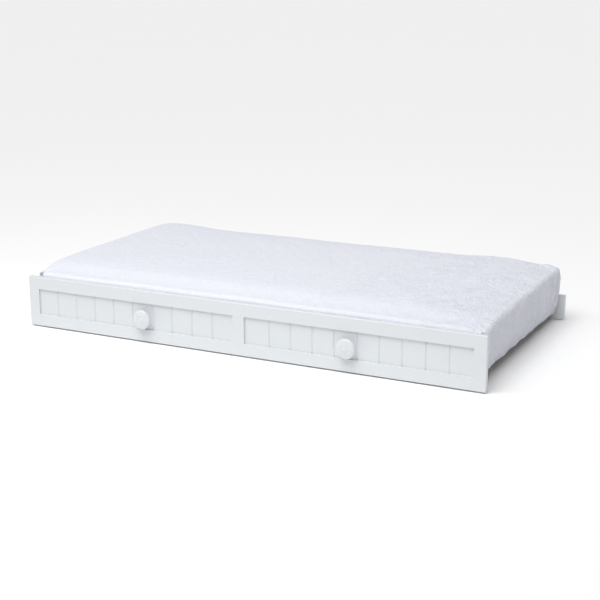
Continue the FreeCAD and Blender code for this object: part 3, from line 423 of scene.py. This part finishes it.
# The cover's top. Each fall and its reach: how far the top sinks at an edge, and how far in
# from that edge the sinking has faded to a third.
TOP_MARGIN = 0.002
FRONT_FALL, FRONT_REACH = 0.010, 0.22
RIGHT_FALL, RIGHT_REACH = 0.020, 0.09
RIGHT_LONG_FALL, RIGHT_LONG_REACH = 0.007, 0.30
LEFT_FALL, LEFT_REACH = 0.004, 0.05
REAR_FALL, REAR_REACH = 0.019, 0.075
# The rounded step behind the panel: its height, how far it lies behind the front, its width.
STEP_FALL, STEP_PLACE, STEP_WIDTH = 0.023, 0.080, 0.023
# The humps of the rear edge, each with its height, its place from its end, and its width.
LEFT_HUMP, RIGHT_HUMP, HUMP_REACH = (0.012, 0.09, 0.15), (0.014, 0.25, 0.12), 0.10
EAR_HEIGHT, EAR_PLACE, EAR_WIDTH = 0.010, 0.045, 0.030
GATHER_HEIGHT, GATHER_PLACE, GATHER_WIDTH = 0.0014, 0.05, 0.035
LUMP_HEIGHT, LUMP_LENGTH = 0.0016, 0.55
CAD_COVER_LOW, CAD_COVER_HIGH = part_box("coverlet")


def waves(x, y, longest, seed, count=14):
    """Smooth random field from -1 to 1: the mean of plane waves of random direction, phase
    and length, none longer than the longest."""
    dice = np.random.default_rng(seed)
    total = np.zeros_like(x)
    for turn, phase, share in dice.random((count, 3)):
        rate = 2 * np.pi / (longest * (0.45 + 0.55 * share))
        total += np.cos(rate * (x * np.cos(np.pi * turn) + y * np.sin(np.pi * turn)) + 2 * np.pi * phase)
    return total / np.sqrt(2.0 * count)


def bell(value, middle, width):
    """Bell curve: 1 at the middle, and about a third one width away."""
    return np.exp(-((value - middle) / width) ** 2)


def bed_top(x, y):
    """Height of the cover's top: a flat bed that falls to the panel in one rounded step on a
    long slope, sinks exponentially to its other edges, and has a hump at each end of the
    rear edge, an ear at the rear right corner, gathers that fan out from the front corners,
    and slow lumps."""
    front, rear = y - CAD_COVER_LOW.y, CAD_COVER_HIGH.y - y
    left, right = x - CAD_COVER_LOW.x, CAD_COVER_HIGH.x - x
    depth = CAD_COVER_HIGH.y - CAD_COVER_LOW.y
    front_slope = STEP_FALL / (1 + np.exp((front - STEP_PLACE) / STEP_WIDTH))
    front_slope = front_slope + FRONT_FALL * np.exp(-front / FRONT_REACH)
    right_slope = RIGHT_FALL * np.exp(-right / RIGHT_REACH)
    right_slope = right_slope + RIGHT_LONG_FALL * np.exp(-right / RIGHT_LONG_REACH)
    right_slope = right_slope * (1.25 - 0.55 * front / depth)
    slope = (front_slope ** 1.5 + right_slope ** 1.5) ** (1 / 1.5)
    slope += LEFT_FALL * np.exp(-left / LEFT_REACH) + REAR_FALL * np.exp(-rear / REAR_REACH)
    humps = LEFT_HUMP[0] * bell(left, *LEFT_HUMP[1:]) + RIGHT_HUMP[0] * bell(right, *RIGHT_HUMP[1:])
    slope -= humps * np.exp(-rear / HUMP_REACH)
    slope -= EAR_HEIGHT * np.exp(-((right - EAR_PLACE) ** 2 + (rear - EAR_PLACE) ** 2) / EAR_WIDTH ** 2)
    for side in (left, right):
        reach = np.hypot(side, front)
        gathers = np.sin(17 * np.arctan2(front, side) + 40 * reach)
        slope -= GATHER_HEIGHT * bell(reach, GATHER_PLACE, GATHER_WIDTH) * gathers
    return CAD_COVER_HIGH.z - TOP_MARGIN - slope + LUMP_HEIGHT * waves(x, y, LUMP_LENGTH, 3)


def rounded_plan(across, deep, low, high, radius):
    """Grid over a rectangle whose corners are drawn in to quarter circles: inside each
    corner square, each coordinate shrinks by the root of 1 less half the other's square."""
    x, y = np.meshgrid(across, deep)
    middle_x, middle_y = (low.x + high.x) / 2, (low.y + high.y) / 2
    flat_x = (high.x - low.x) / 2 - radius
    flat_y = (high.y - low.y) / 2 - radius
    side_x, side_y = np.sign(x - middle_x), np.sign(y - middle_y)
    past_x = np.clip((np.abs(x - middle_x) - flat_x) / radius, 0, 1)
    past_y = np.clip((np.abs(y - middle_y) - flat_y) / radius, 0, 1)
    inner_x = x - side_x * past_x * radius
    inner_y = y - side_y * past_y * radius
    x = inner_x + side_x * radius * past_x * np.sqrt(1 - past_y ** 2 / 2)
    y = inner_y + side_y * radius * past_y * np.sqrt(1 - past_x ** 2 / 2)
    return x, y


def rim_of(grid):
    """Values round the edge of a grid, once round from the first corner: along the first
    row, up the last column, back along the last row and down the first column."""
    return np.concatenate([grid[0, :-1], grid[:-1, -1], grid[-1, :0:-1], grid[:0:-1, 0]])


def rim_outward(rim_x, rim_y, low, high, radius):
    """Outward direction in plan at each rim point: away from the nearest point of the
    rectangle that the corner circles are centred on."""
    centre_x = np.clip(rim_x, low.x + radius, high.x - radius)
    centre_y = np.clip(rim_y, low.y + radius, high.y - radius)
    out_x, out_y = rim_x - centre_x, rim_y - centre_y
    reach = np.hypot(out_x, out_y)
    return out_x / reach, out_y / reach


def ticking():
    """Knitted ticking: a fine rib, pale yarn over a greyer ground, and a soft nap."""
    material, tree, shader = new_material("ticking")
    knit = noise(tree, object_place(tree, (700, 1500, 700)), 1.0, 2.0)
    slow = noise(tree, object_place(tree), 6.0, 3.0)
    colour = two_colours(tree, remap(tree, knit, 0.3, 0.7, 0.0, 0.35), TICKING, TICKING_SEAM)
    tree.links.new(two_colours(tree, math_node(tree, "MULTIPLY", slow, 0.15), colour, TICKING_SEAM),
                   shader.inputs["Base Color"])
    tree.links.new(bump(tree, knit, 0.0004), shader.inputs["Normal"])
    shader.inputs["Roughness"].default_value = 0.85
    shader.inputs["Sheen Weight"].default_value = 0.25
    return material


mattress_low, mattress_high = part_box("mattress")
inset = Vector((EDGE_ROLL + SIDE_GAP, EDGE_ROLL + SIDE_GAP, 0))
plan_low, plan_high = mattress_low + inset, mattress_high - inset
across = np.linspace(plan_low.x, plan_high.x, MATTRESS_COLUMNS)
deep = np.linspace(plan_low.y, plan_high.y, MATTRESS_ROWS)
bed_x, bed_y = rounded_plan(across, deep, plan_low, plan_high, MATTRESS_CORNER)
quilt = np.abs(np.sin(np.pi * (bed_x + bed_y) / QUILT_PITCH) * np.sin(np.pi * (bed_x - bed_y) / QUILT_PITCH))
puff = QUILT_DEPTH * (1 - np.sqrt(quilt))
bed_z = bed_top(bed_x, bed_y) - COVER_GAP - puff
base_z = mattress_low.z + puff
rim_x, rim_y, top_rim_z, base_rim_z = (rim_of(grid) for grid in (bed_x, bed_y, bed_z, base_z))
out_x, out_y = rim_outward(rim_x, rim_y, plan_low, plan_high, MATTRESS_CORNER)
round_turn = np.linspace(0, np.pi / 2, 6)[1:, None]
wall = np.linspace(0, 1, 13)[1:-1, None]
pipe = np.linspace(-np.pi / 2, np.pi / 2, 7)[:, None]
wall_top, wall_base = top_rim_z - EDGE_ROLL, base_rim_z + EDGE_ROLL
side_out = np.concatenate([
    (EDGE_ROLL - PIPING_RADIUS) * np.sin(round_turn) + 0 * rim_x,
    EDGE_ROLL - PIPING_RADIUS + PIPING_RADIUS * np.cos(pipe) + 0 * rim_x,
    EDGE_ROLL - PIPING_RADIUS * (1.3 + 0.7 * np.cos(4 * np.pi * wall)) + 0 * rim_x,
    EDGE_ROLL - PIPING_RADIUS + PIPING_RADIUS * np.cos(pipe) + 0 * rim_x,
    (EDGE_ROLL - PIPING_RADIUS) * np.sin(round_turn[::-1]) + 0 * rim_x,
])
side_z = np.concatenate([
    top_rim_z - EDGE_ROLL * (1 - np.cos(round_turn)),
    wall_top - PIPING_RADIUS * (1 + np.sin(pipe)),
    wall_top - 2 * PIPING_RADIUS - (wall_top - wall_base - 4 * PIPING_RADIUS) * wall,
    wall_base + PIPING_RADIUS * (1 - np.sin(pipe)),
    base_rim_z + EDGE_ROLL * (1 - np.cos(round_turn[::-1])),
])

top_number = np.arange(bed_x.size).reshape(bed_x.shape)
side_number = bed_x.size + np.arange(side_out.size).reshape(side_out.shape)
base_number = bed_x.size + side_out.size + top_number
side_number = np.concatenate([rim_of(top_number)[None], side_number, rim_of(base_number)[None]])
mattress_points = np.concatenate([
    np.stack([bed_x, bed_y, bed_z], axis=2).reshape(-1, 3),
    np.stack([rim_x + out_x * side_out, rim_y + out_y * side_out, side_z], axis=2).reshape(-1, 3),
    np.stack([bed_x, bed_y, base_z], axis=2).reshape(-1, 3),
])
mattress_faces = np.concatenate([
    grid_faces(top_number),
    grid_faces(closed_columns(side_number)[::-1]),
    grid_faces(base_number[::-1]),
])
mattress = mesh_piece("mattress_block", mattress_points, mattress_faces)
mattress.data.materials.append(ticking())
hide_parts("mattress")
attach(mattress, "bedding")

# Coverlet: one white cotton cloth, woven in two layers that pucker into close ridges, hemmed
# all round. It is drawn over the mattress, tucked in at the front and the rear, and hangs
# over both ends past the side boards.
COTTON = (0.808, 0.820, 0.880)
# Painted shade: a darker bluish colour laid into the hollows of the ridges, puckers and fine rings; it also
# gives the cloth's slow changes of tone.
COTTON_SHADE_AND_TONE = (0.640, 0.655, 0.745)
CREPE_SCALE = (90, 210, 210)
CREPE_DEPTH = 0.0022
YARN_SCALE = 1400.0
YARN_DEPTH = 0.0002
# Cells of the cloth: fine at both ends, where the ridges stand out, and coarse between.
CELL_FINE = 0.0040
CELL_COARSE = 0.0070
CELL_ROW = 0.00416
FINE_FROM_X = 0.42
FINE_LEFT = 0.05
# Ridges in the cloth, in rings round the fans' centres, and the finer rings between them.
RIDGE_PITCH = 0.0122
RIDGE_HEIGHT = 0.0014
FAN_SPACING = 0.155
FAN_SHIFT = 0.22
FAN_BEND = 0.010
FAN_BEND_LENGTH = 0.11
# The rings are squeezed along the bed up to one place, and are round from another on.
RING_SQUEEZE = 0.45
SQUEEZED_TO_X = 0.20
ROUND_FROM_X = 0.62
# The ridges grow stronger between two places along the bed, and are calmer on the front roll.
WEAK_TO_X = 0.20
STRONG_FROM_X = 0.85
WEAK_SHARE = 0.5
STRONG_SHARE = 1.5
CALM_SHARE = 0.75
CALM_BAND = 0.11
CALM_FADE = 0.08
FINE_FAN = 0.10
FINE_BEND = 0.05
FINE_PITCH = 0.0068
FINE_DEPTH = 0.00042
PUCKER_HEIGHT = 0.0006
COVER_CORNER = 0.014
CORNER_DRAW = 0.009
# Each pinch: its middle along the bed, its top, half its width at the foot, and its depth.
PINCHES = [(-0.909, 0.221, 0.017, 0.034), (0.920, 0.206, 0.007, 0.014)]
PINCH_TALL = 0.018
SKIRT_PATTERN_SHARE = 0.3
HEM_Z_FRONT = 0.040
HEM_Z_REAR = 0.029
HEM_WAVE = 0.0015
HEM_DEPTH = 0.014
TUCK_Z = CAD_COVER_LOW.z + 0.066
SKIRT_LEAN = 0.027
FOLD_HEIGHT = 0.0045
FOLD_LENGTH = 0.16


def ease(value):
    """Smooth step: 0 up to 0, 1 from 1 on, and a soft S between."""
    value = np.clip(value, 0, 1)
    return value ** 2 * (3 - 2 * value)


def even_by_cell(low, high, coarse, fine, fine_from, left_fine):
    """Steps from low to high: fine at both ends, coarse between, with soft changes."""
    table = np.linspace(low, high, 4001)
    rise = ease((table - fine_from) / 0.10 + 0.5)
    fall = np.clip((low + left_fine - table) / 0.02 + 0.5, 0, 1)
    share = np.maximum(rise, fall)
    per_metre = 1 / coarse + (1 / fine - 1 / coarse) * share
    count = np.concatenate([[0], np.cumsum((per_metre[1:] + per_metre[:-1]) / 2 * np.diff(table))])
    return np.interp(np.linspace(0, count[-1], int(round(count[-1])) + 1), count, table)


def fan_ridges(x, y):
    """Woven ridges from -1 to 1: rings round the nearest of a staggered set of centres. The
    rings are drawn out along the bed at its left and middle, and turn round at its right."""
    table = np.linspace(-1.4, 1.4, 561)
    rounding = ease((table - SQUEEZED_TO_X) / (ROUND_FROM_X - SQUEEZED_TO_X))
    squeeze = RING_SQUEEZE + (1 - RING_SQUEEZE) * rounding
    x = np.interp(x, table, np.cumsum(squeeze) * (table[1] - table[0]))
    bend_x = FAN_BEND * waves(x, y, FAN_BEND_LENGTH, 21)
    bend_y = FAN_BEND * waves(x, y, FAN_BEND_LENGTH, 22)
    x, y = x + bend_x, y + bend_y
    dice = np.random.default_rng(5)
    nearest = np.full_like(x, 9.0)
    for row, centre_y in enumerate(np.arange(-0.70, 0.75, 0.87 * FAN_SPACING)):
        row_x = np.arange(-0.2, x.max() + FAN_SPACING, FAN_SPACING) + (row % 2) * FAN_SPACING / 2
        for centre_x in row_x:
            shift = FAN_SHIFT * FAN_SPACING * dice.uniform(-1, 1, 2)
            nearest = np.minimum(nearest, np.hypot(x - centre_x - shift[0], y - centre_y - shift[1]))
    return np.cos(2 * np.pi * nearest / RIDGE_PITCH)


def fine_rings(tree):
    """Rings from -1 to 1 round scattered centres: the sine of the distance to the nearest
    centre, at a place that a slow noise has moved. They are faint at the bed's left."""
    bend = add(tree, "ShaderNodeTexNoise", {"Vector": object_place(tree), "Scale": 14.0, "Detail": 1.0})
    moved = add(tree, "ShaderNodeVectorMath", {0: bend.outputs["Color"], 1: (FINE_BEND,) * 3},
                operation="MULTIPLY").outputs[0]
    moved = add(tree, "ShaderNodeVectorMath", {0: moved, 1: object_place(tree)}, operation="ADD").outputs[0]
    fan = add(tree, "ShaderNodeTexVoronoi", {"Vector": moved, "Scale": 1 / FINE_FAN, "Randomness": 0.6})
    turns = math_node(tree, "MULTIPLY", fan.outputs["Distance"], 2 * math.pi * FINE_FAN / FINE_PITCH)
    along_bed = add(tree, "ShaderNodeSeparateXYZ", {"Vector": object_place(tree)}).outputs["X"]
    strength = remap(tree, along_bed, 0.0, 0.8, 0.3, 1.0)
    return math_node(tree, "MULTIPLY", math_node(tree, "SINE", turns), strength)


def cotton():
    """Puckered cotton: a crepe of 4 mm puckers, fine rings and fine yarns, with painted bluish shade in the
    valleys of the ridges and the hollows of the puckers and rings, and slow changes of tone."""
    material, tree, shader = new_material("cotton")
    crepe = noise(tree, object_place(tree, CREPE_SCALE), 1.0, roughness=0.6)
    fine_ring = fine_rings(tree)
    yarn = noise(tree, object_place(tree), YARN_SCALE, detail=2.0)
    slow = noise(tree, object_place(tree), 5.0)
    # Painted shade: the darker colour goes into the hollows of the crepe, the troughs of the ridges and the
    # hollows of the fine rings; the slow noise only changes the tone.
    deep = add(tree, "ShaderNodeAttribute", attribute_name="valley_shade").outputs["Fac"]
    colour = two_colours(tree, remap(tree, crepe, 0.35, 0.65, 0.35, 0.0), COTTON, COTTON_SHADE_AND_TONE)
    colour = two_colours(tree, math_node(tree, "MULTIPLY", deep, 0.5), colour, COTTON_SHADE_AND_TONE)
    colour = two_colours(tree, math_node(tree, "MULTIPLY", slow, 0.12), colour, COTTON_SHADE_AND_TONE)
    colour = two_colours(tree, remap(tree, fine_ring, -1.0, 1.0, 0.14, 0.0), colour, COTTON_SHADE_AND_TONE)
    tree.links.new(colour, shader.inputs["Base Color"])
    normal = bump(tree, crepe, CREPE_DEPTH)
    normal = bump(tree, fine_ring, FINE_DEPTH, normal)
    tree.links.new(bump(tree, yarn, YARN_DEPTH, normal), shader.inputs["Normal"])
    shader.inputs["Roughness"].default_value = 0.85
    shader.inputs["Specular IOR Level"].default_value = 0.25
    shader.inputs["Sheen Weight"].default_value = 0.15
    shader.inputs["Sheen Roughness"].default_value = 0.5
    return material


inset = Vector((EDGE_ROLL, EDGE_ROLL, 0))
plan_low, plan_high = CAD_COVER_LOW + inset, CAD_COVER_HIGH - inset
across = even_by_cell(plan_low.x, plan_high.x, CELL_COARSE, CELL_FINE, FINE_FROM_X, FINE_LEFT)
deep = np.linspace(plan_low.y, plan_high.y, int((plan_high.y - plan_low.y) / CELL_ROW))
top_x, top_y = rounded_plan(across, deep, plan_low, plan_high, COVER_CORNER)
rim_x, rim_y = rim_of(top_x), rim_of(top_y)
out_x, out_y = rim_outward(rim_x, rim_y, plan_low, plan_high, COVER_CORNER)

# The skirt's rows, from the mattress's edge down: the roll over the edge, the fall, and the
# hem, which is turned in and up again. The end share is 1 along both ends, where the skirt
# hangs, and 0 along the front and the rear, where the cloth is tucked in.
round_turn = np.linspace(0, np.pi / 2, 7)[1:, None]
fall_rows = np.linspace(0, 1, 13)[1:-1, None]
end_share = ease((np.abs(out_x) - 0.30) / 0.50)
rearward = (rim_y - plan_low.y) / (plan_high.y - plan_low.y)
hem_z = HEM_Z_FRONT + (HEM_Z_REAR - HEM_Z_FRONT) * rearward ** 2
hem_z = TUCK_Z + (hem_z - TUCK_Z) * end_share + HEM_WAVE * np.sin(rim_y * 47.0) * end_share
rim_z = bed_top(rim_x, rim_y)
turn_z = rim_z - EDGE_ROLL
fall = turn_z - hem_z
band_z = hem_z + HEM_DEPTH
skirt_z = np.concatenate([
    rim_z - EDGE_ROLL * (1 - np.cos(round_turn)),
    turn_z + (band_z - turn_z) * fall_rows,
    band_z[None], (hem_z + 0.9 * HEM_DEPTH)[None], (hem_z + 0.5 * HEM_DEPTH)[None], (hem_z + 0.0008)[None],
    hem_z[None], (hem_z + 0.0008)[None], band_z[None],
])
# How far the hem's rows stand out: its outer face, its foot, and its turned-in layer.
hem_out = np.array([[0.0], [0.0009], [0.0009], [0.0007], [-0.0003], [-0.0012], [-0.0014]])
fallen = np.clip((turn_z - skirt_z) / fall, 0, 1)
folds = waves(rim_y, rim_x, FOLD_LENGTH, 31) * (0.35 + 0.65 * bell(rearward, 0.08, 0.16))
skirt_out = np.concatenate([EDGE_ROLL * np.sin(round_turn) + 0 * rim_x,
                            EDGE_ROLL + 0 * fallen[len(round_turn):]])
skirt_out += (FOLD_HEIGHT * folds * fallen ** 0.8 - SKIRT_LEAN * fallen ** 3) * end_share
skirt_out[-len(hem_out):] += hem_out
# The corners are drawn out nearly square. A three-cornered pinch opens at each front corner,
# where the cloth turns in behind the panel.
over_edge = np.sin(np.clip(np.pi * (rim_z - skirt_z) / fall, 0, np.pi / 2))
skirt_out += CORNER_DRAW * (2 * out_x * out_y) ** 2 * over_edge
cloth_x = rim_x + out_x * EDGE_ROLL
for pinch_x, pinch_top, pinch_half, pinch_depth in PINCHES:
    half = pinch_half * np.clip((pinch_top - skirt_z) / PINCH_TALL, 0.001, 1)
    pinch = np.clip(1 - np.abs(cloth_x - pinch_x) / half, 0, 1) * (rim_y < 0)
    skirt_out -= pinch_depth * pinch ** 0.6

# Ridges stand square to the cloth, on the top and over the edge. Their strength changes from
# place to place.
top_z = bed_top(top_x, top_y)
strength = 0.6 + 0.3 * waves(top_x, top_y, 0.4, 41) + 0.35 * waves(top_x, top_y, 0.09, 42)
growth = np.clip((top_x - WEAK_TO_X) / (STRONG_FROM_X - WEAK_TO_X), 0, 1)
growth = WEAK_SHARE + (STRONG_SHARE - WEAK_SHARE) * growth
strength = RIDGE_HEIGHT * np.clip(strength, 0.1, 1.3) * growth
front_share = np.clip((plan_low.y + CALM_BAND - top_y) / CALM_FADE, 0, 1)
front_share = front_share * np.clip((0.92 - top_x) / 0.20, 0.3, 1)
strength = strength * (1 - CALM_SHARE * front_share)
ridge = fan_ridges(top_x, top_y)
puckers = waves(top_x * 0.6, top_y, 0.06, 51)
top_z = top_z + strength * ridge + PUCKER_HEIGHT * puckers
down = np.concatenate([EDGE_ROLL * round_turn + 0 * rim_x,
                       EDGE_ROLL * np.pi / 2 + turn_z - skirt_z[len(round_turn):]])
pattern_x = rim_x + out_x * SKIRT_PATTERN_SHARE * down
pattern_y = rim_y + out_y * SKIRT_PATTERN_SHARE * down
skirt_ridge = fan_ridges(pattern_x, pattern_y)
rim_lift = rim_of(top_z) - rim_z
fading = np.exp(-down / 0.02)
lift = rim_lift * fading + (1 - fading) * (rim_of(strength) * skirt_ridge * (0.4 + 0.6 * end_share))
lean = np.concatenate([round_turn, np.full_like(skirt_z[len(round_turn):, :1], np.pi / 2)])
skirt_out = skirt_out + lift * np.sin(lean)
skirt_z = skirt_z + lift * np.cos(lean)

top_number = np.arange(top_x.size).reshape(top_x.shape)
skirt_number = top_x.size + np.arange(skirt_z.size).reshape(skirt_z.shape)
skirt_number = np.concatenate([rim_of(top_number)[None], skirt_number])
cover_points = np.concatenate([
    np.stack([top_x, top_y, top_z], axis=2).reshape(-1, 3),
    np.stack([rim_x + out_x * skirt_out, rim_y + out_y * skirt_out, skirt_z], axis=2).reshape(-1, 3),
])
cover_faces = np.concatenate([grid_faces(top_number), grid_faces(closed_columns(skirt_number)[::-1])])
coverlet = mesh_piece("coverlet_cloth", cover_points, cover_faces)
# Painted shade: each point's share of the darker colour, highest in the troughs of the ridges and none where
# they are faint.
valley_shade = coverlet.data.attributes.new("valley_shade", "FLOAT", "POINT")
top_valley_shade = (0.5 - 0.5 * ridge) * np.clip(strength / RIDGE_HEIGHT, 0, 1)
skirt_valley_shade = (0.5 - 0.5 * skirt_ridge) * np.clip(rim_of(strength) / RIDGE_HEIGHT, 0, 1)
valley_shade.data.foreach_set("value", np.concatenate([top_valley_shade.ravel(), skirt_valley_shade.ravel()]))
coverlet.data.materials.append(cotton())
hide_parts("coverlet")
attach(coverlet, "bedding")

# Room: a pale seamless floor in a white studio. One very broad soft light and a smaller one
# stand high in front, so that the front and the top are bright and the right end is in shade.
FLOOR_COLOUR = (0.955, 0.955, 0.955)
FLOOR_REACH = 150.0
LIGHT_FROM = (-0.03, -0.44, 0.90)
LIGHT_STRENGTH = 1.98
LIGHT_SPREAD = math.radians(46)
SMALL_LIGHT_PLACE = Vector((-0.5, -1.6, 2.6))
SMALL_LIGHT_SIZE = (2.2, 1.4)
SMALL_LIGHT_POWER = 22.0
STUDIO_GLOW = 0.36


def floor_finish():
    """Matt pale floor with the faintest mottle."""
    material, tree, shader = new_material("pale_floor")
    slow = noise(tree, object_place(tree), 0.8, 2.0)
    colour = two_colours(tree, slow, shade(FLOOR_COLOUR, 0.99), FLOOR_COLOUR)
    tree.links.new(colour, shader.inputs["Base Color"])
    shader.inputs["Roughness"].default_value = 0.95
    shader.inputs["Specular IOR Level"].default_value = 0.05
    return material


corners = FLOOR_REACH * np.array([[-1, -1, 0], [1, -1, 0], [1, 1, 0], [-1, 1, 0]])
floor = mesh_piece("floor", corners, np.array([[0, 1, 2, 3]]))
floor.data.materials.append(floor_finish())

soft_light = bpy.data.lights.new("soft_light", "SUN")
soft_light.energy = LIGHT_STRENGTH
soft_light.angle = LIGHT_SPREAD
soft_lamp = bpy.data.objects.new("soft_light", soft_light)
soft_lamp.rotation_euler = Vector(LIGHT_FROM).to_track_quat("Z", "Y").to_euler()
bpy.context.scene.collection.objects.link(soft_lamp)

small_light = bpy.data.lights.new("small_light", "AREA")
small_light.shape = "RECTANGLE"
small_light.size, small_light.size_y = SMALL_LIGHT_SIZE
small_light.energy = SMALL_LIGHT_POWER
small_lamp = bpy.data.objects.new("small_light", small_light)
small_lamp.location = SMALL_LIGHT_PLACE
small_lamp.rotation_euler = SMALL_LIGHT_PLACE.to_track_quat("Z", "Y").to_euler()
bpy.context.scene.collection.objects.link(small_lamp)

world = bpy.data.worlds.new("studio")
world.use_nodes = True
world.node_tree.nodes["Background"].inputs["Color"].default_value = (1, 1, 1, 1)
world.node_tree.nodes["Background"].inputs["Strength"].default_value = STUDIO_GLOW
bpy.context.scene.world = world

# Camera: standing eye height, off the right front corner, looking down along the bed.
CAMERA_PLACE = (2.13639, -4.28325, 1.38027)
CAMERA_YAW = math.radians(26.4204)
CAMERA_PITCH = math.radians(15.0039)
CAMERA_ROLL = math.radians(-0.0956)
CAMERA_LENS = 74.5

lens = bpy.data.cameras.new("camera")
lens.lens = CAMERA_LENS
lens.sensor_width = 36.0
camera = bpy.data.objects.new("camera", lens)
turn = Matrix.Rotation(CAMERA_YAW, 4, "Z") @ Matrix.Rotation(math.pi / 2 - CAMERA_PITCH, 4, "X")
camera.matrix_world = Matrix.Translation(CAMERA_PLACE) @ turn @ Matrix.Rotation(CAMERA_ROLL, 4, "Z")
bpy.context.scene.collection.objects.link(camera)
bpy.context.scene.camera = camera
bpy.context.scene.view_settings.view_transform = "Standard"
